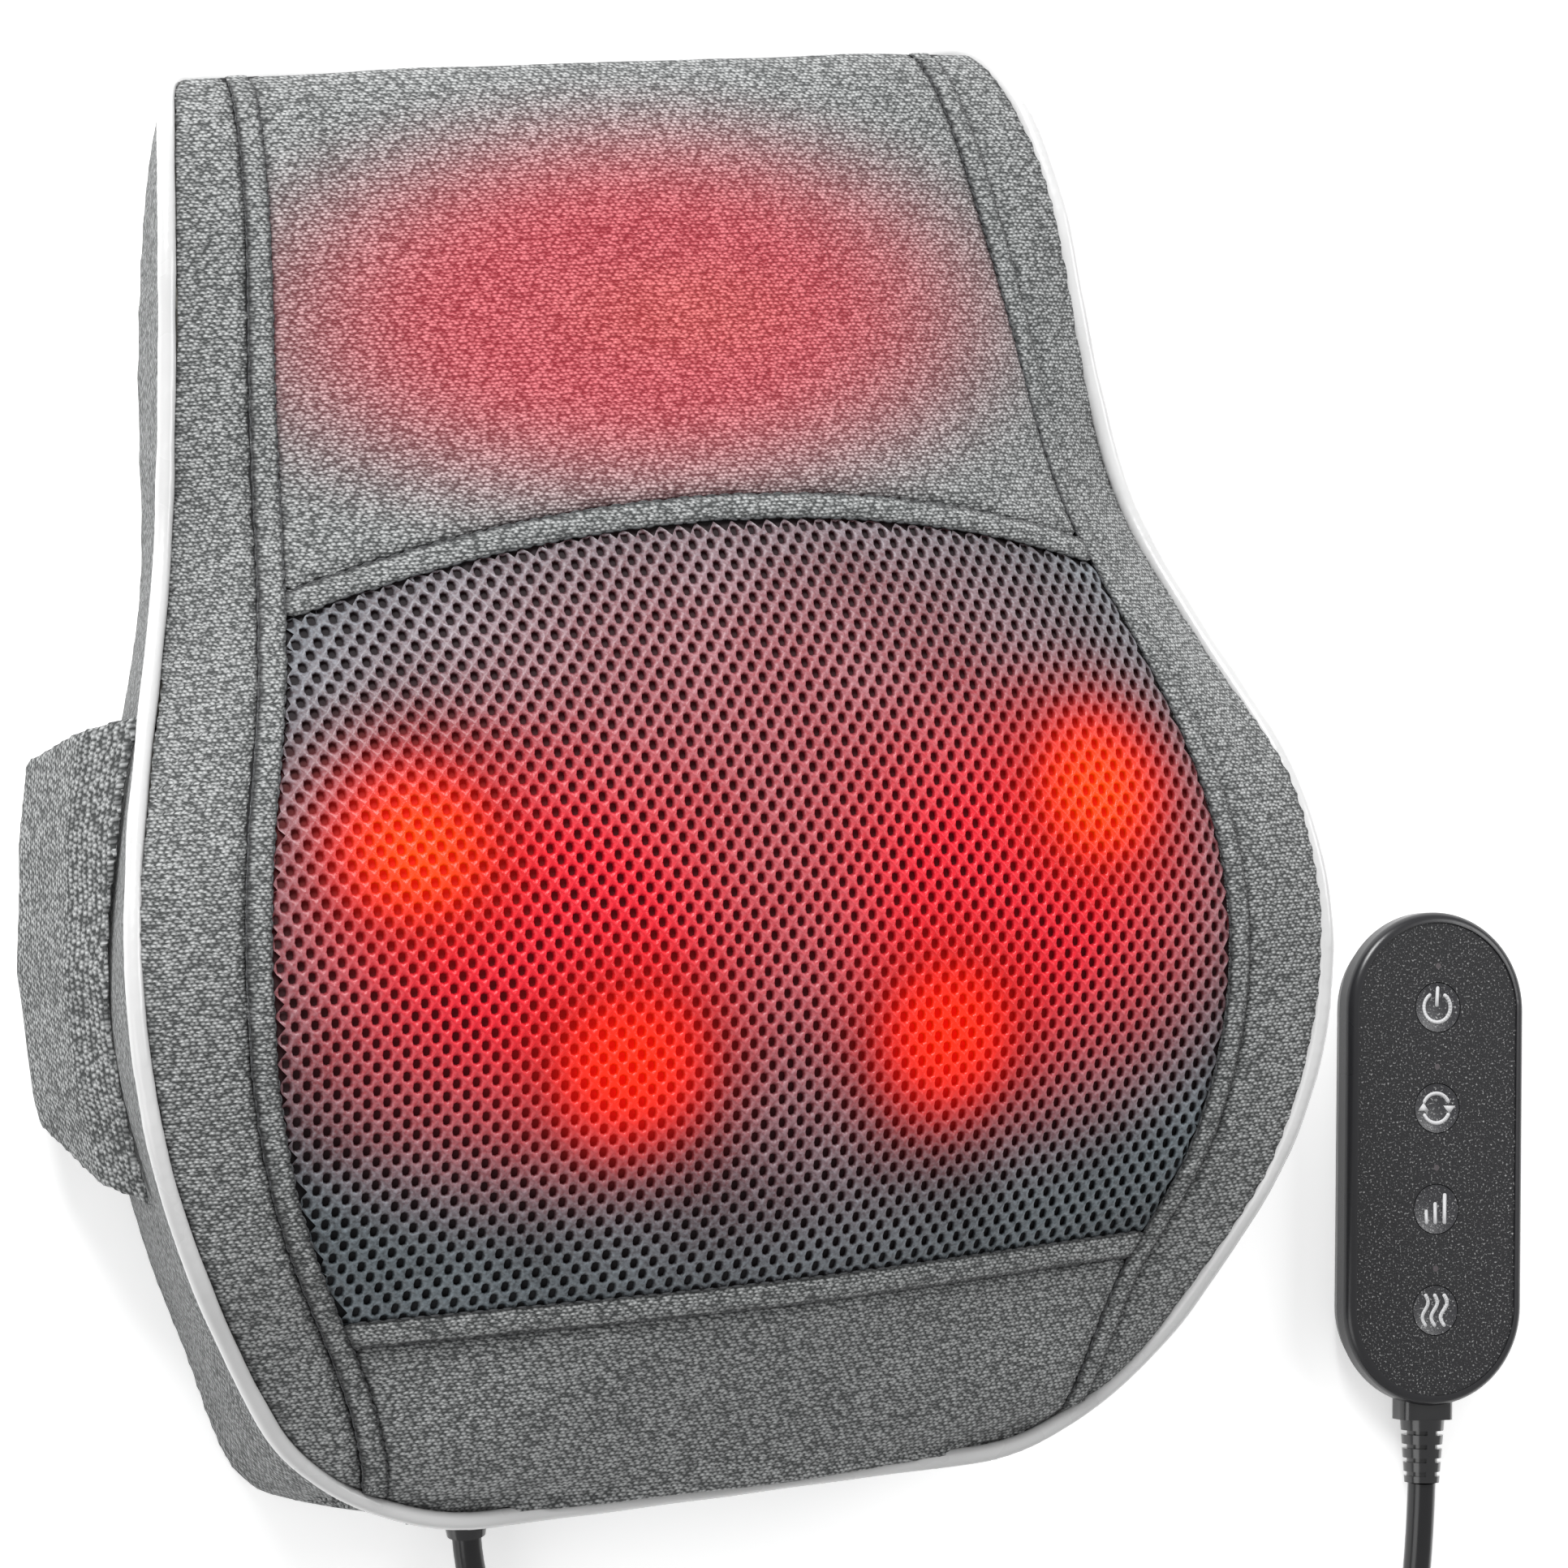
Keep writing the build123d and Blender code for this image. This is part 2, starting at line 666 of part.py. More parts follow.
def make_foam(filling):
    """Neck, side and bottom foam blocks around the casing and the rotors."""
    half = rotor_x + reach + sweep_clearance
    open_space = rotor_space() + prism(casing_outline(1.0), 0.0, front_shell_top + 0.5)
    foam = filling - open_space
    low = prism(below(sweep_low_y), low=0.0)
    high = prism(Pos(0, sweep_high_y + half_width) * Rectangle(4 * half_width, 2 * half_width), low=0.0)
    beside = prism(Pos(half + half_width, 0) * Rectangle(2 * half_width, 4 * half_width), low=0.0)
    right = largest(((foam - low) - high) & beside)
    return {
        "neck_foam": largest(foam & high),
        "side_foam_right": right,
        "side_foam_left": mirrored(right),
        "bottom_foam": largest(foam & low),
    }


def make_heating_film(body):
    """The thin heating sheet between the neck foam and the top panel."""
    top = body.moved(Location((0, 0, -skin)))
    layer = top - body.moved(Location((0, 0, -skin - film_thickness)))
    return layer & prism(Pos(0, neck_y - 68) * RectangleRounded(150, 78, 12), low=20.0)


# ---------------------------------------------------------------- strap
def gusset_x(y, z):
    """Half width of the gusset's outside at a height, at a place along the pillow."""
    rows = section_sizes()
    for low, high in zip(rows, rows[1:]):
        if low[0] <= y <= high[0]:
            share = (y - low[0]) / (high[0] - low[0])
            edge_x, edge_z, back_x = [low[i] + share * (high[i] - low[i]) for i in (1, 2, 6)]
            return back_x + (edge_x - back_x) * z / edge_z
    raise ValueError("no gusset there")


def strap_profile(y):
    """Cross section of the right wing of the strap at a place along the pillow."""
    seam_x = gusset_x(y, strap_seam_z) - 1.0
    foot_x = gusset_x(y, 0) + 3.0
    bulge = (seam_x + foot_x) / 2 + strap_bulge
    points = [
        (seam_x, strap_seam_z),
        (seam_x + 0.62 * (bulge - seam_x), 0.80 * strap_seam_z),
        (bulge, 0.36 * strap_seam_z),
        (bulge - 5, 0.08 * strap_seam_z),
        (foot_x, 0),
        (foot_x, strap_cloth),
        (bulge - 5 - strap_cloth, 0.08 * strap_seam_z + strap_cloth),
        (bulge - strap_cloth, 0.36 * strap_seam_z),
        (seam_x + 0.62 * (bulge - seam_x) - strap_cloth, 0.80 * strap_seam_z - 0.6 * strap_cloth),
        (seam_x, strap_seam_z - 1.6 * strap_cloth),
    ]
    outline = make_face(Polyline(*points, close=True))
    return Plane(origin=(0, y, 0), x_dir=(1, 0, 0), z_dir=(0, -1, 0)) * outline


def make_strap_wing(body):
    """The wide right wing of the back strap: out from the gusset and round to the back."""
    length = strap_top_y - strap_low_y
    places = [strap_low_y + share * length for share in (0.0, 0.25, 0.5, 0.75, 1.0)]
    wing = loft([strap_profile(y) for y in places], ruled=True)
    taper = make_face(Polyline(
        (strap_low_y, strap_seam_z + 1),
        (strap_top_y, strap_seam_z + 1),
        (strap_back_top_y, -1),
        (strap_back_low_y, -1),
        close=True,
    ))
    return largest((wing & extrude(Plane.YZ * taper, amount=3 * half_width)) - body)


def make_back_elastic():
    """The elastic band across the back that joins the two wings."""
    reach_x = gusset_x(rotor_y, 0) + 3.0
    width = strap_back_top_y - strap_back_low_y - 1.0
    y = (strap_back_top_y + strap_back_low_y) / 2
    return Pos(0, y, elastic_thickness / 2) * Box(2 * reach_x, width, elastic_thickness)


# ---------------------------------------------------------------- bottom wall
def on_bottom_wall(x, z):
    """A place on the bottom wall: X along the pillow's width, Y up the wall, Z outwards."""
    lean = bottom_lean / (sections[0][2] * crown)
    y = bottom_y + bottom_lean - z * lean
    return Location(Plane(origin=(x, y, z), x_dir=(1, 0, 0), z_dir=(0, -1, -lean)))


def make_zip():
    """The zip across the bottom wall: tape with teeth, slider and pull tab."""
    wall = on_bottom_wall(0, zip_z)
    tape = Pos(0, 0, zip_tape / 2) * Box(2 * zip_half_length, zip_tape_width, zip_tape)
    tape += Pos(0, 0, zip_tape + 0.4) * Box(2 * zip_half_length, 2.6, 0.8)
    park = zip_half_length - slider_length
    low = zip_tape + 1.1
    body = Pos(park, 0, low + 0.6) * Box(slider_length, 7.0, 1.2)
    for side in (-1, 1):
        body += Pos(park, side * 2.6, low + 2.0) * Box(3.2, 1.2, 1.8)
    pin = Pos(park, 0, low + 2.3) * Rot(90, 0, 0) * extrude(Circle(0.45), amount=3.2, both=True)
    slider = body + pin
    tab = Pos(park - pull_length / 2 + 1, 0, low + 2.3) * Box(pull_length, 3.6, 0.9)
    eye = Pos(park, 0, low + 2.3) * Rot(90, 0, 0) * extrude(Circle(0.45 + 0.06), amount=3, both=True)
    tab += Pos(park, 0, low + 2.3) * Rot(90, 0, 0) * extrude(Circle(0.95), amount=1.8, both=True)
    tab -= eye
    tab -= Pos(park - pull_length + 3.6, 0, low) * extrude(Circle(1.0), amount=5)
    return wall * tape, wall * slider, wall * tab


def make_inlet():
    """The round power inlet, let into the bottom wall."""
    depth = 13.0
    body = extrude(Circle(inlet_radius), amount=-depth) + extrude(Circle(inlet_radius + 1.8), amount=1.2)
    body -= Pos(0, 0, -9.5) * extrude(Circle(inlet_bore_radius), amount=12)
    body += Pos(0, 0, -10) * extrude(Circle(1.0), amount=8.5)
    return on_bottom_wall(inlet_x, service_z) * body


def make_gland():
    """The moulded gland where the handset's cord goes into the pillow, about its own axis."""
    end = Vector(*tail_route[-1])
    inner = Plane(origin=end, x_dir=(1, 0, 0), z_dir=end - Vector(*tail_route[-2]))
    nose = loft([inner * Circle(cord_radius + 1.2), inner.offset(gland_nose) * Circle(cord_radius + 2.6)])
    body = inner.offset(gland_nose) * Circle(cord_radius + 2.6)
    flange = inner.offset(gland_nose - 2.0) * Circle(cord_radius + 3.6)
    return nose + extrude(body, amount=12) + extrude(flange, amount=2.0)


# ---------------------------------------------------------------- handset
def handset_frame():
    """The handset's own frame on the floor: Y along its length to its top end."""
    return Location((*handset_place, 0), (0, 0, handset_turn))


def pill(inset, low, high):
    """A round-ended slab, inset from the handset's outline."""
    outline = SlotOverall(handset_length - 2 * inset, handset_width - 2 * inset, rotation=90)
    return Pos(0, 0, low) * extrude(outline, amount=high - low)


def tapered_pill(inset, low):
    """A round-ended slab that narrows downwards from where the case halves meet."""
    outline = SlotOverall(handset_length - 2 * inset, handset_width - 2 * inset, rotation=90)
    top = Plane.XY.offset(handset_split)
    return extrude(top * outline, amount=-(handset_split - low), taper=case_taper)


def button_places():
    """The four buttons down the middle of the handset, power first."""
    return [(name, (1.5 - i) * button_pitch) for i, name in enumerate(button_names)]


def make_handset_case():
    """Back half of the case: a tray with rounded edges and two screw posts."""
    tray = tapered_pill(0, 0)
    tray = fillet(tray.faces().sort_by(Axis.Z)[0].edges(), radius=2.0)
    tray -= tapered_pill(handset_wall, handset_wall)
    for y in handset_posts():
        tray += Pos(0, y) * rod(3.2, handset_wall - 0.5, handset_split)
        tray -= Pos(0, y) * rod(screw_radius, -1, handset_split + 1)
        tray -= Pos(0, y) * rod(screw_head_radius + 0.2, -1, handset_wall)
    return tray


def handset_posts():
    """Where the handset's screws are."""
    reach_y = handset_length / 2 - handset_wall - 6.5
    return [-reach_y, reach_y]


def make_handset_bezel():
    """Front half of the case: the smooth raised rim."""
    rim = pill(0, handset_split, handset_height)
    rim = fillet(rim.faces().sort_by(Axis.Z)[-1].edges(), radius=2.6)
    rim -= pill(handset_wall + 1.2, handset_split - 1, handset_height - faceplate - 1.5)
    return rim - pill(bezel_width, handset_height - faceplate - 1.6, handset_height + 1)


def make_faceplate():
    """The grained plate with its button and lamp holes."""
    low = handset_height - faceplate - 0.4
    plate = pill(bezel_width + 0.05, low, low + faceplate)
    for _, y in button_places():
        plate -= Pos(0, y) * rod(button_radius + 0.25, low - 1, low + faceplate + 1)
        plate -= Pos(0, y + lamp_offset) * rod(lamp_radius, low - 1, low + faceplate + 1)
    return plate


def make_button(y):
    """One dished round button with its flange under the faceplate."""
    low = handset_height - faceplate - 0.4
    button = rod(button_radius, low - 0.2, low + faceplate)
    button += rod(button_radius + 1.2, low - 1.6, low - 0.2)
    dish = Pos(0, 0, low + faceplate + 27.6) * Sphere(28.4)
    stem = rod(2.0, low - 3.0, low - 1.6)
    return Pos(0, y) * ((button - dish) + stem)


def make_lamps():
    """The four light pipes above the buttons."""
    low = handset_height - faceplate - 0.4
    lamps = [Pos(0, y + lamp_offset) * rod(lamp_radius, low, low + faceplate) for _, y in button_places()]
    return Part() + lamps


def make_handset_board():
    """The handset's circuit board with one tact switch under each button."""
    low = 5.0
    outline = RectangleRounded(30, handset_length - 30, 4)
    board = Pos(0, 0, low) * extrude(outline, amount=1.6)
    top = handset_height - faceplate - 0.4 - 3.0 - button_travel - 0.25
    for _, y in button_places():
        board += Pos(0, y, (low + top) / 2 + 0.5) * Box(6, 6, top - low - 1.0)
    return board


def make_relief():
    """The ribbed strain relief at the handset's lower end, pointing down the cord."""
    end = -handset_length / 2
    slope = Plane(origin=(0, end, relief_z), x_dir=(1, 0, 0), z_dir=(0, -1, 0))
    collar = extrude(slope.offset(-4) * RectangleRounded(15.5, 10.5, 3.5), amount=relief_collar + 4)
    collar -= pill(0, handset_split, handset_height) + tapered_pill(0, 0)
    collar = largest(collar)
    root = slope.offset(relief_collar)
    tip = slope.offset(relief_collar + relief_length)
    cone = loft([root * Circle(6.0), tip * Circle(cord_radius + 1.0)])
    pitch = relief_length / 4.6
    for i in range(4):
        cut = slope.offset(relief_collar + (i + 0.8) * pitch)
        slot = extrude(cut * Circle(8.0), amount=1.2) - extrude(cut * Circle(cord_radius + 0.4), amount=1.2)
        slot -= extrude(cut * Rectangle(2.4, 20), amount=1.2)
        cone -= slot
    return collar + cone


# ---------------------------------------------------------------- coil
def make_coil_and_tie():
    """The outer shape of the wound cord, and the tie round one side of it."""
    outer = coil_turn_radii[1] + cord_radius
    inner = coil_turn_radii[0] - cord_radius
    low = tie_thickness
    high = low + 2 * cord_diameter
    coil = Pos(*coil_centre) * ring(outer, inner, low, high)
    middle = (outer + inner) / 2
    size = outer - inner + 2.0
    place = Pos(coil_centre[0], coil_centre[1] - middle, 0)
    band = Pos(0, 0, (low + high) / 2) * Box(
        tie_width, size + 2 * tie_thickness, high - low + 2 * tie_thickness)
    band -= Pos(0, 0, (low + high) / 2) * Box(tie_width + 1, size, high - low)
    return coil, place * band


def write_all():
    """Build every piece and write it to its own file."""
    os.makedirs("parts", exist_ok=True)
    cover, filling = make_cover()
    elastic = make_back_elastic()
    tape, slider, tab = make_zip()
    inlet = make_inlet()
    gland = make_gland() - tube(tail_route, cord_radius)[0]
    body = pillow_body()
    wing = make_strap_wing(body) - elastic
    foam = make_foam(filling)
    film = make_heating_film(body)
    foam["neck_foam"] = largest(foam["neck_foam"] - film)
    foam["bottom_foam"] = foam["bottom_foam"] - inlet - gland
    cover["gusset"] = largest(cover["gusset"] - inlet - gland - elastic)
    cover["back_panel"] = cover["back_panel"] - elastic
    for name, piece in {**cover, **foam}.items():
        save(piece, name)
    save(film, "heating_film")
    save(elastic, "back_elastic")
    save(wing, "strap_wing_right")
    save(mirrored(wing), "strap_wing_left")
    save(tape, "zip_tape")
    save(slider, "zip_slider")
    save(tab, "zip_pull")
    save(inlet, "power_inlet")
    save(gland, "cord_gland")
    write_drive()
    write_handset()
    write_cord()


def write_drive():
    """The casing and the drive train."""
    save(make_back_shell(), "back_shell")
    save(make_front_shell(), "front_shell")
    save(make_gear_cover(), "gear_cover")
    save(make_case_screws(), "case_screws")
    save(make_bushes(), "shaft_bushes")
    save(make_motor(), "motor")
    save(make_motor_clamp(), "motor_clamp")
    save(make_control_board(), "control_board")
    save(make_worm(), "drive_worm")
    half_step = 180.0 / wheel_teeth
    for side, name in [(-1, "left"), (1, "right")]:
        place = Pos(side * rotor_x, rotor_y)
        tooth_at = 180.0 + half_step if side > 0 else 0.0
        save(place * make_worm_wheel(tooth_at), f"worm_wheel_{name}")
        save(place * make_output_shaft(), f"output_shaft_{name}")
        rotor = place * Rot(0, 0, -side * rotor_angle)
        save(rotor * make_rotor_arm(), f"rotor_arm_{name}")
        save(rotor * make_node_pins(), f"node_pins_{name}")
        upper = rotor * Pos(side * node_orbit, 0) * make_massage_node(tall_node)
        lower = rotor * Pos(-side * node_orbit, 0) * make_massage_node(short_node)
        save(upper, f"massage_node_upper_{name}")
        save(lower, f"massage_node_lower_{name}")


def write_handset():
    """The wired handset."""
    frame = handset_frame()
    save(frame * make_handset_case(), "handset_case")
    save(frame * make_handset_bezel(), "handset_bezel")
    save(frame * make_faceplate(), "handset_faceplate")
    save(frame * make_lamps(), "handset_lamps")
    save(frame * make_handset_board(), "handset_board")
    save(frame * make_relief() - tube(lead_route, cord_radius)[0], "handset_strain_relief")
    for name, y in button_places():
        save(frame * make_button(y), f"button_{name}")


def write_cord():
    """The cord between the handset and the pillow: lead, coil, tie and tail."""
    coil, tie = make_coil_and_tie()
    save(tie, "cord_tie")
    for name, route in [("cord_lead", lead_route), ("cord_tail", tail_route)]:
        cord, length, radii = tube(route, cord_radius)
        ratio = cord.volume / (pi * cord_radius ** 2 * length)
        print(f"{name}: {length:.0f} mm, volume ratio {ratio:.4f}, radii {[round(r) for r in radii]}")
        coil -= cord
        save(cord, name)
    save(largest(coil), "cord_coil")


write_all()
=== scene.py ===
import functools
import json
import math

import bpy
import numpy as np
from bpy.props import FloatProperty, FloatVectorProperty, PointerProperty
from mathutils import Matrix, Vector
from mathutils.bvhtree import BVHTree
from mathutils.kdtree import KDTree

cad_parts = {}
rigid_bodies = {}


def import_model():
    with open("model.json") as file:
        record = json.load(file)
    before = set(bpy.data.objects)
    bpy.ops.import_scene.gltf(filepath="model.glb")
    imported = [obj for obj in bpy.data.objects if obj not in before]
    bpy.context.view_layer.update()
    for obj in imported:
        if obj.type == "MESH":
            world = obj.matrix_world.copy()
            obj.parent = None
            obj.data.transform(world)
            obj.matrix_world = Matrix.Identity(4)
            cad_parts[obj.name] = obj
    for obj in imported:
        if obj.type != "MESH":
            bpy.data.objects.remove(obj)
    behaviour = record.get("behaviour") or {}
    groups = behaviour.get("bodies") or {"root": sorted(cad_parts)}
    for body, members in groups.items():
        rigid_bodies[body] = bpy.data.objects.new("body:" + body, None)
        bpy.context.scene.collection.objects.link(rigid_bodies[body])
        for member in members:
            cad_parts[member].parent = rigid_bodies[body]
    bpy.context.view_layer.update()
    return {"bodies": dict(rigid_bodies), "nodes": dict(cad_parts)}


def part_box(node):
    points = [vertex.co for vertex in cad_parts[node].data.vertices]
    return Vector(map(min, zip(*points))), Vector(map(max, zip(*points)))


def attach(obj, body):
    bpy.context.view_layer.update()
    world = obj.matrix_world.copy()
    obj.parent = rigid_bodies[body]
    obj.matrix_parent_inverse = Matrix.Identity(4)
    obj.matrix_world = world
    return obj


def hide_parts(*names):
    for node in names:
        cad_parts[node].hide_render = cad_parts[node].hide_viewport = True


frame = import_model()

bl_info = {
    "name": "Shiatsu massage pillow",
    "version": (1, 0, 0),
    "blender": (4, 5, 0),
    "location": "View3D > Sidebar > Massage pillow",
    "description": "Builds the cover, the handset, the cord and the finishes of a massage pillow",
    "category": "Object",
}

NODES = frame["nodes"]
MM = 0.001


# ---------------------------------------------------------------- geometry
def points_of(mesh):
    """The vertices of a mesh as an array."""
    points = np.empty(len(mesh.vertices) * 3, np.float32)
    mesh.vertices.foreach_get("co", points)
    return points.reshape(-1, 3).astype(float)


def move_points(mesh, points):
    """Put the vertices of a mesh at new places."""
    mesh.vertices.foreach_set("co", points.astype(np.float32).ravel())
    mesh.update()


def store(mesh, name, values):
    """Keep a number at each vertex, for a finish to read."""
    layer = mesh.attributes.new(name, "FLOAT", "POINT")
    layer.data.foreach_set("value", np.array(values, np.float32))


def surface_of(*names):
    """The outer faces of some CAD pieces, for finding heights."""
    points, faces = [], []
    for name in names:
        mesh = NODES[name].data
        start = len(points)
        points += [v.co.copy() for v in mesh.vertices]
        faces += [[start + i for i in face.vertices] for face in mesh.polygons]
    return BVHTree.FromPolygons(points, faces)


def drop(surface, x, y, start=0.2):
    """The height of a surface under a point, or None beside it."""
    hit = surface.ray_cast(Vector((x, y, start)), Vector((0, 0, -1)))[0]
    return None if hit is None else hit.z


def add_piece(name, mesh, finish, body="root", replaces=()):
    """Show a mesh as one piece of the pillow."""
    piece = bpy.data.objects.new(name, mesh)
    bpy.context.scene.collection.objects.link(piece)
    mesh.materials.clear()
    mesh.materials.append(finish)
    mesh.shade_smooth()
    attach(piece, body)
    if replaces:
        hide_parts(*replaces)
    return piece


def mesh_from(name, points, faces):
    """A mesh from plain lists."""
    mesh = bpy.data.meshes.new(name)
    mesh.from_pydata([tuple(p) for p in points], [], faces)
    mesh.validate()
    return mesh


def softened(node, voxel, relax):
    """The shape of a CAD piece as even small faces with rounded edges."""
    scratch = bpy.data.objects.new(node + "_scratch", NODES[node].data.copy())
    bpy.context.scene.collection.objects.link(scratch)
    even = scratch.modifiers.new("Even", "REMESH")
    even.mode = "VOXEL"
    even.voxel_size = voxel
    calm = scratch.modifiers.new("Calm", "SMOOTH")
    calm.factor = 0.5
    calm.iterations = relax
    shown = scratch.evaluated_get(bpy.context.evaluated_depsgraph_get())
    mesh = bpy.data.meshes.new_from_object(shown)
    old = scratch.data
    bpy.data.objects.remove(scratch)
    bpy.data.meshes.remove(old)
    return mesh


def normals_of(mesh):
    """The vertex normals of a mesh as an array."""
    normals = np.empty(len(mesh.vertices) * 3, np.float32)
    mesh.vertex_normals.foreach_get("vector", normals)
    return normals.reshape(-1, 3).astype(float)


def ripple(mesh, depth, size, seed, pull=None):
    """Give cloth slow uneven swells, and pull it in where pull says."""
    points, normals = points_of(mesh), normals_of(mesh)
    rng = np.random.default_rng(seed)
    swell = np.zeros(len(points))
    for _ in range(9):
        way = rng.normal(size=3)
        way *= rng.uniform(0.6, 1.4) * 2 * math.pi / size / np.linalg.norm(way)
        swell += np.sin(points @ way + rng.uniform(0, 2 * math.pi))
    move = depth * swell / 9
    if pull is not None:
        move -= pull(points)
    points += normals * move[:, None]
    move_points(mesh, points)


def lay_cloth(mesh, places):
    """Store where each point lies in the flat cloth, in metres."""
    layer = mesh.attributes.new("cloth", "FLOAT_VECTOR", "POINT")
    layer.data.foreach_set("vector", places.astype(np.float32).ravel())


# ---------------------------------------------------------------- finishes
def blank(name):
    """An empty material."""
    material = bpy.data.materials.new(name)
    material.use_nodes = True
    material.node_tree.nodes.clear()
    return material, material.node_tree


def add(tree, kind, inputs=None, **settings):
    """Add a node; an input is a number, a colour or another node's socket."""
    node = tree.nodes.new("ShaderNode" + kind)
    for key, value in settings.items():
        setattr(node, key, value)
    for key, value in (inputs or {}).items():
        if isinstance(value, bpy.types.NodeSocket):
            tree.links.new(value, node.inputs[key])
        else:
            node.inputs[key].default_value = value
    return node


def maths(tree, operation, *values, clamp=False):
    """The result of a Math node."""
    node = add(tree, "Math", dict(enumerate(values)), operation=operation, use_clamp=clamp)
    return node.outputs[0]


def mixed(tree, share, one, other, blend="MIX"):
    """A colour between two."""
    node = add(tree, "Mix", {0: share, 6: one, 7: other}, data_type="RGBA", blend_type=blend)
    return node.outputs[2]


def colour(red, green, blue):
    """A colour with its alpha."""
    return (red, green, blue, 1.0)


def shade(tree, base, roughness, bump=None, depth=0.0, strength=1.0, **more):
    """The shader and the output of a finish."""
    inputs = {"Base Color": base, "Roughness": roughness}
    inputs.update({key.replace("_", " "): value for key, value in more.items()})
    if bump is not None:
        relief = add(tree, "Bump", {"Strength": strength, "Distance": depth, "Height": bump})
        inputs["Normal"] = relief.outputs[0]
    shader = add(tree, "BsdfPrincipled", inputs)
    add(tree, "OutputMaterial", {"Surface": shader.outputs[0]})
    return shader


def soft_spot(tree, place, centre, size, inner=0.0, outer=1.0):
    """One inside an ellipsoid, falling smoothly to nothing at its edge."""
    away = add(tree, "VectorMath", {0: place, 1: centre}, operation="SUBTRACT").outputs[0]
    share = add(tree, "VectorMath", {0: away, 1: size}, operation="DIVIDE").outputs[0]
    length = add(tree, "VectorMath", {0: share}, operation="LENGTH").outputs["Value"]
    fall = add(tree, "MapRange", {"Value": length, "From Min": inner, "From Max": outer,
                                  "To Min": 1.0, "To Max": 0.0}, interpolation_type="SMOOTHERSTEP")
    return fall.outputs[0]


def speckle(tree, place, scale, detail=2.0):
    """Fine noise."""
    return add(tree, "TexNoise", {"Vector": place, "Scale": scale, "Detail": detail}).outputs[0]


def woven_finish(name, dark, light, cell=(1.3, 0.9), warmth=None, relief=0.7):
    """Heather plain weave: uneven yarn crossings in rows, slubs and soft patches, with painted highlight and
    shade on the yarns, painted shade at the seams and, where asked, a painted glow.
    """
    material, tree = blank(name)
    flat = add(tree, "Attribute", attribute_name="cloth").outputs["Vector"]
    seam = add(tree, "Attribute", attribute_name="seam").outputs["Fac"]
    wander = add(tree, "TexNoise", {"Vector": flat, "Scale": 160.0, "Detail": 1.0}).outputs["Color"]
    wander = add(tree, "VectorMath", {0: wander, 3: 0.0007}, operation="SCALE").outputs[0]
    moved = add(tree, "VectorMath", {0: flat, 1: wander}).outputs[0]
    grid = add(tree, "VectorMath", {0: moved, 1: (1 / (cell[0] * MM), 1 / (cell[1] * MM), 0.0)},
               operation="MULTIPLY").outputs[0]
    parts = add(tree, "SeparateXYZ", {0: grid}).outputs
    row = maths(tree, "FLOOR", parts[1])
    shifted = maths(tree, "MULTIPLY_ADD", row, 0.43, parts[0])
    grid = add(tree, "CombineXYZ", {0: shifted, 1: parts[1]}).outputs[0]
    yarn = add(tree, "TexVoronoi", {"Vector": grid, "Scale": 1.0, "Randomness": 0.45, "Smoothness": 0.35},
               feature="SMOOTH_F1")
    swell = maths(tree, "MULTIPLY_ADD", yarn.outputs["Distance"], -1.3, 1.0, clamp=True)
    tone = add(tree, "SeparateColor", {0: yarn.outputs["Color"]}).outputs[0]
    fibre = speckle(tree, grid, 2.6, 3.0)
    patch = speckle(tree, flat, 60.0, 3.0)
    # Partly yarn tone, partly painted light: the swollen middle of each yarn is lighter, as a highlight
    # would fall, and the gaps between yarns darker, as painted shade.
    value = maths(tree, "MULTIPLY_ADD", swell, 1.55, -0.70)
    value = maths(tree, "MULTIPLY_ADD", tone, 0.14, value)
    value = maths(tree, "MULTIPLY_ADD", fibre, 0.40, value)
    value = maths(tree, "MULTIPLY_ADD", patch, 0.16, value, clamp=True)
    base = mixed(tree, value, colour(*dark), colour(*light))
    height = maths(tree, "MULTIPLY_ADD", fibre, 0.35, swell)
    more = {}
    # Painted light: a red glow mixed into the base colour and given as emission.
    if warmth:
        base, more["Emission_Color"] = warmth(tree, base, value)
        more["Emission_Strength"] = 1.0
    # Painted shade: near black along the seams and beside the piping, where the grooves would lie in shadow.
    base = mixed(tree, maths(tree, "MULTIPLY", seam, 0.82), base, colour(0.012, 0.012, 0.013))
    shade(tree, base, 0.88, height, 0.8 * MM, relief, Sheen_Weight=0.12, Sheen_Roughness=0.45,
          Specular_IOR_Level=0.2, **more)
    return material


def painted_film_glow(tree, base, value):
    """A painted red glow on the neck panel over the heating film, in its base colour and as emission."""
    place = add(tree, "TexCoord").outputs["Object"]
    wide = soft_spot(tree, place, (-0.006, 0.125, 0.045), (0.134, 0.068, 0.2), 0.25)
    core = soft_spot(tree, place, (0.004, 0.124, 0.045), (0.050, 0.022, 0.2))
    red = mixed(tree, value, colour(0.19, 0.014, 0.022), colour(0.62, 0.185, 0.205))
    base = mixed(tree, wide, base, red)
    glow_colour = mixed(tree, core, colour(0.17, 0.010, 0.016), colour(0.26, 0.040, 0.012))
    strength = maths(tree, "MULTIPLY", wide, maths(tree, "MULTIPLY_ADD", value, 0.7, 0.3))
    return base, mixed(tree, strength, colour(0, 0, 0), glow_colour)


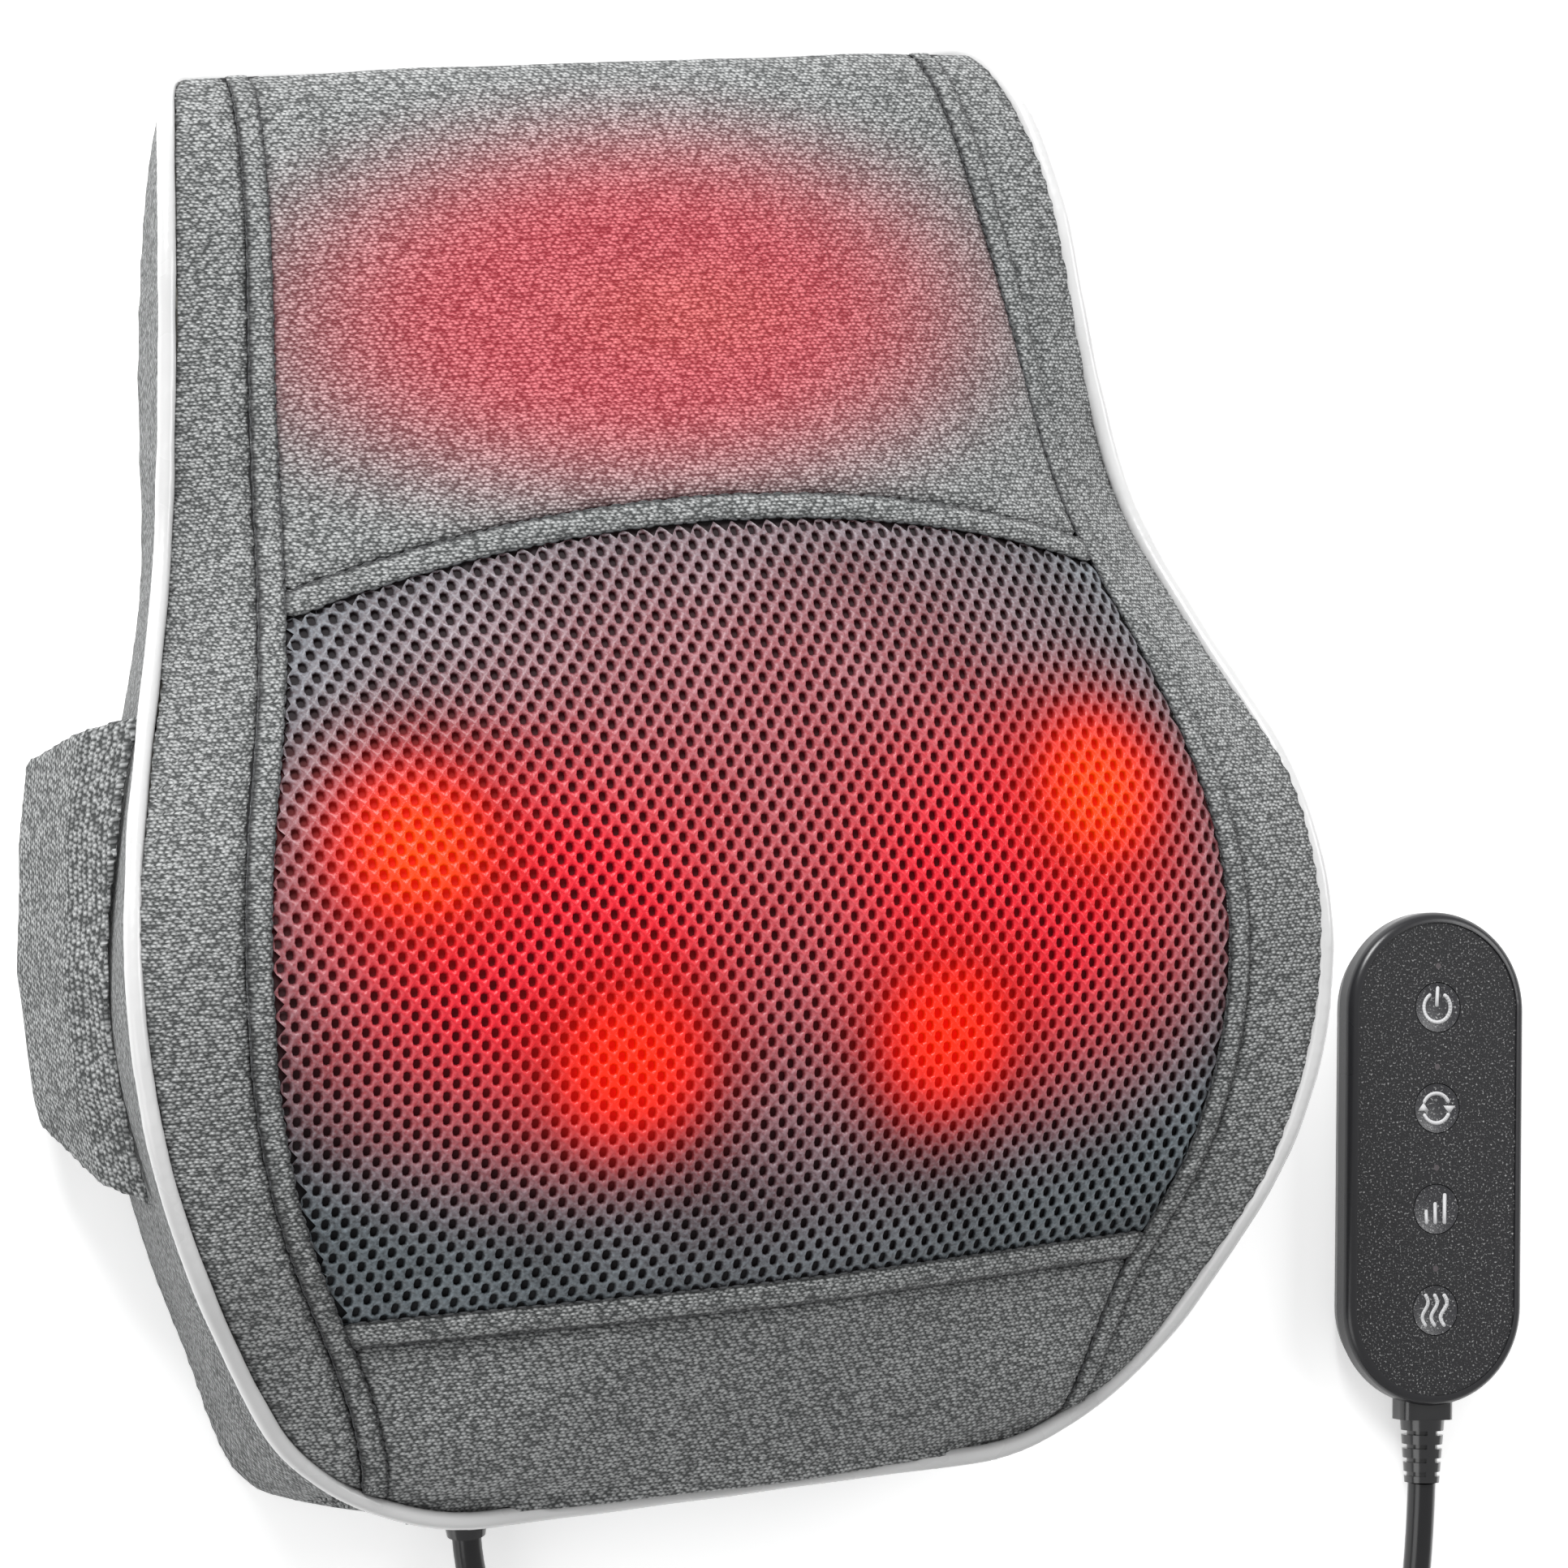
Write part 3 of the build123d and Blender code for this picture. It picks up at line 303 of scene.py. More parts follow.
def painted_node_glow(tree, base, share, haze, heart, dim):
    """Painted light: a red haze over the rotors, and a brighter painted spot that keeps over each massage
    node, in the base colour and as emission.
    """
    place = add(tree, "TexCoord").outputs["Object"]
    # Painted light: a broad red haze over the rotors, stronger over each rotor's circle.
    spots = [((0, -0.010, 0.10), (0.165, 0.120, 0.3), 0.45)]
    spots += [((side * 0.066, -0.030, 0.10), (0.086, 0.076, 0.3), 0.85) for side in (-1, 1)]
    glow = None
    for centre, size, amount in spots:
        part = maths(tree, "MULTIPLY", soft_spot(tree, place, centre, size), amount)
        glow = part if glow is None else maths(tree, "ADD", glow, part, clamp=True)
    painted_spot, heat = None, None
    # Painted light: a spot over each node that moves with the node's body, with an orange heart mostly at
    # the upper nodes.
    for end, orange in (("upper", 1.0), ("lower", 0.2)):
        for side in ("left", "right"):
            low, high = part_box(f"massage_node_{end}_{side}")
            own = add(tree, "TexCoord", object=frame["bodies"][f"{end}_node_{side}"]).outputs["Object"]
            centre = ((low.x + high.x) / 2, (low.y + high.y) / 2, 0.105)
            part = soft_spot(tree, own, centre, (0.045, 0.045, 0.12))
            painted_spot = part if painted_spot is None else maths(tree, "MAXIMUM", painted_spot, part)
            part = maths(tree, "MULTIPLY", maths(tree, "POWER", part, 3.5), orange)
            heat = part if heat is None else maths(tree, "MAXIMUM", heat, part)
    # Painted light: the base colour turns red under the haze and the spots.
    base = mixed(tree, glow, base, mixed(tree, share, colour(*[0.3 * c for c in haze]), colour(*haze)))
    base = mixed(tree, painted_spot, base, colour(0.30, 0.004, 0.0))
    red = mixed(tree, painted_spot, colour(*haze), colour(heart[0], 0.12 * heart[1], 0.0))
    tint = mixed(tree, heat, red, colour(*heart))
    painted_spot = maths(tree, "POWER", painted_spot, 1.9)
    level = maths(tree, "MAXIMUM", maths(tree, "MULTIPLY", glow, 0.40), painted_spot)
    level = maths(tree, "MULTIPLY", level, maths(tree, "MULTIPLY_ADD", share, 1.0 - dim, dim))
    return base, mixed(tree, level, colour(0, 0, 0), tint)


def air_mesh_finish(name, settings):
    """Slate knitted spacer mesh: twisted cords with small painted highlights, painted shade down the holes
    and at the seams, and the nodes' painted red glow.
    """
    material, tree = blank(name)
    place = add(tree, "TexCoord").outputs["Object"]
    twist = speckle(tree, place, 1100.0, 3.0)
    patch = speckle(tree, place, 30.0)
    crest = add(tree, "Attribute", attribute_name="crest").outputs["Fac"]
    # Partly random tone, partly painted glints: fine noise lifts small spots of the cords far above the
    # slate colour.
    value = maths(tree, "MULTIPLY_ADD", patch, 0.5, -0.45)
    value = maths(tree, "MULTIPLY_ADD", twist, 0.9, value, clamp=True)
    deep = settings.mesh_colour
    base = mixed(tree, value, colour(*[0.25 * c for c in deep]), colour(*[2.5 * c for c in deep]))
    seam = add(tree, "Attribute", attribute_name="seam").outputs["Fac"]
    # Painted shade: the colour falls towards near black down each hole's wall, by the stored crest share.
    base = mixed(tree, crest, colour(*[0.10 * c for c in deep]), base)
    # Painted light: the nodes' red haze and spots, in the base colour and as emission.
    base, glow_colour = painted_node_glow(tree, base, crest, (0.62, 0.008, 0.022), (1.0, 0.075, 0.0), 0.30)
    # Painted shade: near black along the seams and beside the piping.
    base = mixed(tree, seam, base, colour(0.006, 0.006, 0.007))
    shade(tree, base, 0.40, twist, 0.35 * MM, 0.5, Specular_IOR_Level=0.4,
          Emission_Color=glow_colour, Emission_Strength=1.0)
    return material


def lining_and_shade_finish(name):
    """Thin dark lining behind the mesh, darkening its holes as painted shade and carrying the nodes' painted
    red glow; past the mesh, behind the seams, it is painted shade alone.
    """
    material, tree = blank(name)
    place = add(tree, "TexCoord").outputs["Object"]
    grain = speckle(tree, place, 900.0)
    base = mixed(tree, grain, colour(0.004, 0.004, 0.005), colour(0.016, 0.017, 0.019))
    # Painted light: the nodes' red glow, dimmer, in the base colour and as emission.
    base, glow_colour = painted_node_glow(tree, base, grain, (0.10, 0.001, 0.004), (0.75, 0.010, 0.0), 0.5)
    behind = add(tree, "Attribute", attribute_name="behind_mesh").outputs["Fac"]
    # Painted shade: past the mesh, behind the seams, the sheet is near black and has no glow.
    base = mixed(tree, behind, colour(0.006, 0.006, 0.007), base)
    glow_colour = mixed(tree, behind, colour(0.0, 0.0, 0.0), glow_colour)
    shade(tree, base, 0.9, grain, 0.1 * MM, 0.3, Emission_Color=glow_colour, Emission_Strength=1.0)
    return material


def moulded_finish(name, base_colour, roughness=0.45, grain=0.0, fine=900.0, sparkle=0.0, **more):
    """Moulded plastic with a fine spark-eroded grain and faint handling marks."""
    material, tree = blank(name)
    place = add(tree, "TexCoord").outputs["Object"]
    pits = speckle(tree, place, fine, 2.0)
    marks = speckle(tree, place, 25.0, 4.0)
    low = colour(*[0.86 * c for c in base_colour])
    high = colour(*[1.12 * c for c in base_colour])
    base = mixed(tree, marks, low, high)
    if sparkle:
        dots = maths(tree, "MULTIPLY_ADD", pits, 7.0, -4.1, clamp=True)
        base = mixed(tree, dots, base, colour(sparkle, sparkle, sparkle))
    rough = maths(tree, "MULTIPLY_ADD", marks, 0.12, roughness - 0.06)
    shade(tree, base, rough, pits, 0.12 * MM, grain, **more)
    return material


def metal_finish(name, base_colour, roughness=0.3, streaks=(900.0, 900.0, 60.0)):
    """Metal with fine working marks."""
    material, tree = blank(name)
    place = add(tree, "TexCoord").outputs["Object"]
    drawn = add(tree, "VectorMath", {0: place, 1: streaks}, operation="MULTIPLY").outputs[0]
    marks = speckle(tree, drawn, 1.0, 3.0)
    base = mixed(tree, marks, colour(*[0.7 * c for c in base_colour]), colour(*base_colour))
    rough = maths(tree, "MULTIPLY_ADD", marks, 0.2, roughness - 0.1)
    shade(tree, base, rough, marks, 0.03 * MM, 0.3, Metallic=1.0)
    return material


def foam_finish(name, base_colour):
    """Open-cell foam."""
    material, tree = blank(name)
    place = add(tree, "TexCoord").outputs["Object"]
    cells = add(tree, "TexVoronoi", {"Vector": place, "Scale": 700.0})
    tone = maths(tree, "MULTIPLY", cells.outputs["Distance"], 1.2, clamp=True)
    base = mixed(tree, tone, colour(*[0.55 * c for c in base_colour]), colour(*base_colour))
    shade(tree, base, 0.95, tone, 0.5 * MM, 0.6)
    return material


def ribbed_finish(name, dark, light, along=(0.0, 1.0, 0.0), pitch=1.6):
    """Elastic or tape: fine ribs across one way and yarn noise."""
    material, tree = blank(name)
    place = add(tree, "TexCoord").outputs["Object"]
    line = add(tree, "VectorMath", {0: place, 1: along}, operation="DOT_PRODUCT").outputs["Value"]
    wave = maths(tree, "SINE", maths(tree, "MULTIPLY", line, 2 * math.pi / (pitch * MM)))
    wave = maths(tree, "MULTIPLY_ADD", wave, 0.5, 0.5)
    yarn = speckle(tree, place, 1400.0)
    value = maths(tree, "MULTIPLY_ADD", yarn, 0.7, maths(tree, "MULTIPLY_ADD", wave, 0.5, -0.2), clamp=True)
    base = mixed(tree, value, colour(*dark), colour(*light))
    shade(tree, base, 0.85, maths(tree, "ADD", wave, yarn), 0.25 * MM, 0.5, Sheen_Weight=0.2)
    return material


def board_finish(name):
    """Green circuit board with tracks."""
    material, tree = blank(name)
    place = add(tree, "TexCoord").outputs["Object"]
    cells = add(tree, "TexVoronoi", {"Vector": place, "Scale": 260.0}, distance="CHEBYCHEV")
    track = maths(tree, "GREATER_THAN", cells.outputs["Distance"], 0.42)
    base = mixed(tree, track, colour(0.008, 0.10, 0.035), colour(0.02, 0.20, 0.07))
    shade(tree, base, 0.35, track, 0.05 * MM, 0.4)
    return material


def lamp_finish(name, base_colour, light):
    """A small lens that glows a little, unevenly."""
    material, tree = blank(name)
    place = add(tree, "TexCoord").outputs["Object"]
    cloud = speckle(tree, place, 600.0)
    base = mixed(tree, cloud, colour(*base_colour), colour(*[min(1.0, 1.3 * c) for c in base_colour]))
    glow_colour = mixed(tree, cloud, colour(*[0.6 * c for c in light]), colour(*light))
    shade(tree, base, 0.3, cloud, 0.05 * MM, 0.2, Emission_Color=glow_colour, Emission_Strength=1.0)
    return material


FINISHES = {}


def finish(name):
    """A finish made by the finishes operator."""
    if name not in FINISHES:
        raise RuntimeError(f"the finish {name} hasn't been made")
    return FINISHES[name]


# ---------------------------------------------------------------- sizes and colours
class PillowSizes(bpy.types.PropertyGroup):
    """Sizes that change the cover's detail."""

    hole_width: FloatProperty(
        name="Hole spacing", description="Distance between the mesh's holes along a row",
        default=0.0046, min=0.003, max=0.008, subtype="DISTANCE", unit="LENGTH")
    hole_rows: FloatProperty(
        name="Row spacing", description="Distance between the mesh's rows of holes",
        default=0.0028, min=0.002, max=0.006, subtype="DISTANCE", unit="LENGTH")
    stitch_length: FloatProperty(
        name="Stitch length", description="Length of one stitch along the welts",
        default=0.0027, min=0.0015, max=0.006, subtype="DISTANCE", unit="LENGTH")
    swell: FloatProperty(
        name="Cloth swell", description="Height of the slow unevenness of the cloth",
        default=0.0009, min=0.0, max=0.003, subtype="DISTANCE", unit="LENGTH")
    cord_diameter: FloatProperty(
        name="Cord diameter", description="Diameter of the handset's cord",
        default=0.0075, min=0.004, max=0.01, subtype="DISTANCE", unit="LENGTH")
    icon_stroke: FloatProperty(
        name="Sign stroke", description="Width of the lines of the signs on the buttons",
        default=0.0010, min=0.0004, max=0.0015, subtype="DISTANCE", unit="LENGTH")


class PillowColours(bpy.types.PropertyGroup):
    """Colours of the pillow's main finishes."""

    cloth_dark: FloatVectorProperty(
        name="Cloth, dark yarn", description="Dark yarn of the heather weave",
        default=(0.055, 0.058, 0.058), min=0.0, max=1.0, subtype="COLOR")
    cloth_light: FloatVectorProperty(
        name="Cloth, light yarn", description="Light yarn of the heather weave",
        default=(0.49, 0.50, 0.50), min=0.0, max=1.0, subtype="COLOR")
    mesh_colour: FloatVectorProperty(
        name="Mesh", description="The knitted mesh's cords",
        default=(0.16, 0.19, 0.21), min=0.0, max=1.0, subtype="COLOR")
    piping_colour: FloatVectorProperty(
        name="Piping", description="The piping round the front",
        default=(0.56, 0.56, 0.56), min=0.0, max=1.0, subtype="COLOR")
    handset_colour: FloatVectorProperty(
        name="Handset", description="The handset's mouldings",
        default=(0.008, 0.008, 0.009), min=0.0, max=1.0, subtype="COLOR")


class PillowSettings(bpy.types.PropertyGroup):
    """Everything that a user may change."""

    sizes: PointerProperty(type=PillowSizes, name="Sizes", description="Sizes of the cover's detail")
    colours: PointerProperty(type=PillowColours, name="Colours", description="Colours of the finishes")


# ---------------------------------------------------------------- stage and cord
EYE = Vector((-0.440224, 0.0, 1.289505))
EYE_RIGHT = Vector((0.93630, -0.08490, 0.34079))
EYE_UP = Vector((0.07978, 0.99639, 0.02904))
EYE_BACK = Vector((-0.34202, 0.0, 0.93969))

CORD_LEAD = [
    (0.20845, -0.19652, 0.0070), (0.2070, -0.2180, 0.0044), (0.2015, -0.2400, 0.0039),
    (0.1876, -0.2580, 0.0046), (0.18475, -0.2750, 0.00495),
]
CORD_TAIL = [
    (0.09525, -0.2750, 0.01245), (0.0950, -0.2570, 0.0106), (0.0870, -0.2370, 0.0072),
    (0.0660, -0.2250, 0.0046), (0.0360, -0.2220, 0.0039), (0.0020, -0.2240, 0.0038),
    (-0.0320, -0.2200, 0.0040), (-0.0540, -0.2060, 0.0054), (-0.0615, -0.1880, 0.0086),
    (-0.0620, -0.1760, 0.0110),
]
COIL_CENTRE = (0.140, -0.275)
COIL_STEP = 15
# Turned angle, radius and height where each stretch of the coil starts.
COIL_STRETCHES = [
    (0, 0.04475, 0.00495), (300, 0.04475, 0.00495), (360, 0.03725, 0.00495), (600, 0.03725, 0.00495),
    (660, 0.03725, 0.01245), (900, 0.03725, 0.01245), (960, 0.04475, 0.01245), (1260, 0.04475, 0.01245),
]


class PILLOW_OT_stage(bpy.types.Operator):
    """Set the camera, the soft lights and the pale floor"""

    bl_idname = "pillow.stage"
    bl_label = "Stage"

    def execute(self, context):
        scene = context.scene
        lens = bpy.data.cameras.new("view")
        lens.lens = 121.118
        lens.sensor_width = 36.0
        lens.shift_x = 0.0342
        lens.shift_y = 0.0176
        lens.clip_start, lens.clip_end = 0.05, 20.0
        camera = bpy.data.objects.new("view", lens)
        turned = Matrix((EYE_RIGHT, EYE_UP, EYE_BACK)).transposed().to_4x4()
        camera.matrix_world = Matrix.Translation(EYE) @ turned
        scene.collection.objects.link(camera)
        scene.camera = camera
        scene.view_settings.view_transform = "Standard"

        world = bpy.data.worlds.new("room")
        world.use_nodes = True
        world.node_tree.nodes["Background"].inputs[0].default_value = (1.0, 1.0, 1.0, 1.0)
        world.node_tree.nodes["Background"].inputs[1].default_value = 0.50
        scene.world = world
        for name, place, aim, size, power in [
            ("key", (-0.45, 1.35, 1.15), (0.0, 0.05, 0.05), 0.8, 36.0),
            ("fill", (-1.5, -0.5, 0.9), (0.0, 0.0, 0.05), 1.2, 7.0),
            ("rim", (1.3, 0.3, 1.1), (0.1, -0.05, 0.03), 0.8, 8.0),
        ]:
            light = bpy.data.lights.new(name, "AREA")
            light.shape = "DISK"
            light.size = size
            light.energy = power
            lamp = bpy.data.objects.new(name, light)
            lamp.location = place
            lamp.rotation_mode = "QUATERNION"
            lamp.rotation_quaternion = (Vector(place) - Vector(aim)).to_track_quat("Z", "Y")
            scene.collection.objects.link(lamp)

        half = 4.0
        corners = [(-half, -half, 0), (half, -half, 0), (half, half, 0), (-half, half, 0)]
        floor = bpy.data.objects.new("floor", mesh_from("floor", corners, [[0, 1, 2, 3]]))
        material, tree = blank("floor_paper")
        place = add(tree, "TexCoord").outputs["Object"]
        cloud = speckle(tree, place, 3.0)
        shade(tree, mixed(tree, cloud, colour(0.90, 0.90, 0.90), colour(0.93, 0.93, 0.93)), 0.9,
              Emission_Color=colour(1.0, 1.0, 1.0), Emission_Strength=0.45)
        floor.data.materials.append(material)
        floor.location.z = -0.0003
        scene.collection.objects.link(floor)
        return {"FINISHED"}


def coil_points():
    """The turns of the coil, as the cord is wound."""
    x, y = COIL_CENTRE
    points = []
    for turned in range(COIL_STEP, COIL_STRETCHES[-1][0], COIL_STEP):
        angles, radii, heights = zip(*COIL_STRETCHES)
        radius = np.interp(turned, angles, radii)
        height = np.interp(turned, angles, heights)
        turn = -math.radians(turned)
        points.append((x + radius * math.cos(turn), y + radius * math.sin(turn), height))
    return points


def curve_piece(name, points, radius, material):
    """A cord of round section along a smooth curve."""
    curve = bpy.data.curves.new(name, "CURVE")
    curve.dimensions = "3D"
    spline = curve.splines.new("NURBS")
    spline.points.add(len(points) - 1)
    for point, place in zip(spline.points, points):
        point.co = (*place, 1.0)
    spline.order_u = 3
    spline.use_endpoint_u = True
    spline.resolution_u = 6
    curve.bevel_depth = radius
    curve.bevel_resolution = 5
    curve.use_fill_caps = True
    curve.materials.append(material)
    piece = bpy.data.objects.new(name, curve)
    bpy.context.scene.collection.objects.link(piece)
    return piece


class PILLOW_OT_cord(bpy.types.Operator):
    """Lay the handset's cord in its coil and tie it"""

    bl_idname = "pillow.cord"
    bl_label = "Cord"

    def execute(self, context):
        diameter = context.scene.pillow.sizes.cord_diameter
        cord = curve_piece("handset_cord", CORD_LEAD + coil_points() + CORD_TAIL,
                           diameter / 2, finish("cord_sheath"))
        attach(cord, "root")
        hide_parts("cord_lead", "cord_coil", "cord_tail")

        mesh = softened("cord_tie", 0.5 * MM, 2)
        ripple(mesh, 0.0002, 0.012, 5)
        tie = add_piece("cord_tie_band", mesh, finish("tie_cloth"), replaces=["cord_tie"])
        return {"FINISHED"}


# ---------------------------------------------------------------- cover
FRONT = ["top_panel", "mesh_panel", "bottom_panel", "border_panel_left", "border_panel_right",
         "welt_left", "welt_right", "arch_band", "lower_band"]
WIDTH_STEP = 0.002
LENGTH_STEP = 0.006
SEAM_CLOSING = 0.001
WIDE_CORNER, TALL_CORNER = 0.72, 0.78
LINING_DEPTH = 0.0022
SHADE_SHEET_REACH = 0.006


class Front:
    """Heights over the front, and distances measured along the cloth."""

    def __init__(self):
        self.surface = surface_of(*FRONT)
        self.ys = np.arange(-0.172, 0.196, LENGTH_STEP)
        self.xs = np.arange(0.0, 0.158, WIDTH_STEP)
        self.rows = []
        for y in self.ys:
            heights = [drop(self.surface, x, y) for x in self.xs]
            last = 0.04
            for i, height in enumerate(heights):
                last = last if height is None or height < 0.01 else height
                heights[i] = last
            steps = np.hypot(WIDTH_STEP, np.diff(heights))
            self.rows.append(np.concatenate([[0.0], np.cumsum(steps)]))

    def places(self, points):
        """Where points lie in the flat cloth, counted from the centre line."""
        row = np.clip(((points[:, 1] - self.ys[0]) / LENGTH_STEP).round().astype(int), 0, len(self.rows) - 1)
        across = np.zeros(len(points))
        for i in np.unique(row):
            here = row == i
            across[here] = np.interp(abs(points[here, 0]), self.xs, self.rows[i])
        across *= np.sign(points[:, 0])
        return np.stack([across, points[:, 1], np.zeros(len(points))], 1)


class Rim:
    """Distance round the pillow's edge, for cloth on its sides."""

    def __init__(self):
        points = points_of(NODES["piping"].data)
        angle = np.degrees(np.arctan2(points[:, 1] - 0.01, points[:, 0])) % 360
        order = np.argsort(angle)
        self.degrees = np.arange(0, 361, 3)
        ring = [[np.interp(a, angle[order], points[order, i], period=360) for i in range(3)]
                for a in self.degrees]
        steps = np.linalg.norm(np.diff(np.array(ring), axis=0), axis=1)
        self.lengths = np.concatenate([[0.0], np.cumsum(steps)])

    def places(self, points):
        """Where points lie in the flat cloth: along the rim, and up."""
        angle = np.degrees(np.arctan2(points[:, 1] - 0.01, points[:, 0])) % 360
        along = np.interp(angle, self.degrees, self.lengths)
        return np.stack([along, points[:, 2], np.zeros(len(points))], 1)


def side_places(points):
    """Cloth on the strap's wings."""
    return np.stack([points[:, 1], points[:, 2], np.zeros(len(points))], 1)


def flat_places(points):
    """Cloth that lies flat."""
    return np.stack([points[:, 0], points[:, 1], np.zeros(len(points))], 1)


def flared(mesh, reach=0.0065, bins=14):
    """Pull a strap wing's free edge outwards, most at its upper end."""
    points = points_of(mesh)
    share = (points[:, 1] - points[:, 1].min()) / np.ptp(points[:, 1])
    part = np.minimum((share * bins).astype(int), bins - 1)
    out = abs(points[:, 0])
    edges = np.array([(out[part == i].min(), out[part == i].max()) for i in range(bins)])
    middles = (np.arange(bins) + 0.5) / bins
    near, far = (np.interp(share, middles, edges[:, i]) for i in range(2))
    free = np.clip((out - near) / (far - near), 0, 1)
    points[:, 0] += np.sign(points[:, 0]) * reach * free * (0.15 + 0.85 * share ** 2)
    move_points(mesh, points)


def cloth_piece(name, node, material, slot, places, voxel=1.2, relax=4, swell=0.0, size=0.05,
                fill=0.8, pull=0.0, raised=0.0):
    """One sewn panel from its CAD solid, softened and swelled."""
    mesh = softened(node, voxel * MM, relax)
    if node.startswith("strap_wing"):
        flared(mesh)
    if swell:
        ripple(mesh, swell, size, len(name))
    if pull or raised:
        sewn(mesh, pull, raised, SEAM_CLOSING)
    lay_cloth(mesh, places(points_of(mesh)))
    piece = add_piece(name, mesh, material, replaces=[node])
    return piece


def seam_lines(node, across_y=False, step=0.0015):
    """The two long edges of a welt or band, lying on the cloth."""
    surface = surface_of(node)
    low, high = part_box(node)
    lines = [[], []]
    reach = 0.0004
    start, stop = (low.x, high.x) if across_y else (low.y, high.y)
    first, last = (low.y, high.y) if across_y else (low.x, high.x)
    for place in np.arange(start + 0.002, stop - 0.001, step):
        hits = []
        for over in np.arange(first - reach, last + reach, reach):
            x, y = (place, over) if across_y else (over, place)
            z = drop(surface, x, y)
            if z is not None and z > 0.02:
                hits.append((x, y, z))
        if len(hits) > 2:
            lines[0].append(hits[0])
            lines[1].append(hits[-1])
    return lines


@functools.cache
def all_seams():
    """The edges of the welts and bands."""
    lines = []
    for side in ("left", "right"):
        lines += seam_lines(f"welt_{side}")
    for band in ("arch_band", "lower_band"):
        lines += seam_lines(band, across_y=True)
    return lines


@functools.cache
def seam_tree():
    """The seams, and the line where the piping is sewn in, ready for distances."""
    seams = [place for line in all_seams() for place in line]
    piping = points_of(NODES["piping"].data)[::3]
    trees = []
    for places in (seams, piping):
        tree = KDTree(len(places))
        for i, place in enumerate(places):
            tree.insert(place, i)
        tree.balance()
        trees.append(tree)
    return trees


def sewn(mesh, depth, raised=0.0, closing=0.0):
    """Bring cloth to its seams, pull it down there, raise it between them, and store painted shade along the
    seams and beside the piping.
    """
    points = points_of(mesh)
    seams, rims = seam_tree()
    found = [seams.find(point) for point in points]
    seam = np.array([hit[2] for hit in found])
    piping = np.array([rims.find(point)[2] for point in points])
    if closing:
        towards = np.array([hit[0] for hit in found]) - points
        move = np.minimum(seam, closing * np.exp(-(np.maximum(seam - closing, 0) / 0.003) ** 2))
        points[:, :2] += towards[:, :2] * (move / np.maximum(seam, 1e-6))[:, None]
        seam = seam - move
    lower = depth * np.exp(-(seam / 0.0022) ** 2) + 0.6 * depth * np.exp(-(piping / 0.002) ** 2)
    points[:, 2] += raised * (1 - np.exp(-(seam / 0.0014) ** 2)) - lower
    move_points(mesh, points)
    # Painted shade: a dark line along each seam, and a slightly weaker one beside the piping, where the
    # grooves would lie in shadow.
    dark = np.maximum(np.exp(-(seam / 0.0007) ** 2), 0.9 * np.exp(-(piping / 0.0013) ** 2))
    store(mesh, "seam", dark)


class PILLOW_OT_panels(bpy.types.Operator):
    """Sew the woven panels of the front, the gusset and the back"""

    bl_idname = "pillow.panels"
    bl_label = "Woven panels"

    def execute(self, context):
        swell = context.scene.pillow.sizes.swell
        front, rim = Front(), Rim()
        weave = finish("grey_weave")
        panel = {"swell": swell, "pull": 0.0011}
        strip = {"voxel": 0.8, "relax": 5, "fill": 1.0, "raised": 0.0009}

        def sew(name, node, material, shape):
            cloth_piece(name, node, material, "grey_weave", front.places, **shape)

        # The neck panel's weave carries a painted red glow over the heating film.
        sew("neck_cloth", "top_panel", finish("grey_weave_warm"), panel)
        sew("bottom_cloth", "bottom_panel", weave, panel)
        for side in ("left", "right"):
            sew(f"border_cloth_{side}", f"border_panel_{side}", weave, panel)
            sew(f"welt_strip_{side}", f"welt_{side}", weave, strip)
        for band in ("arch", "lower"):
            sew(f"{band}_strip", f"{band}_band", weave, strip)
        cloth_piece("gusset_cloth", "gusset", weave, "grey_weave", rim.places, 1.5, 4, swell, 0.04)
        cloth_piece("back_cloth_panel", "back_panel", finish("back_cloth"), "back_cloth", flat_places,
                    1.6, 3, 0.0004)
        return {"FINISHED"}


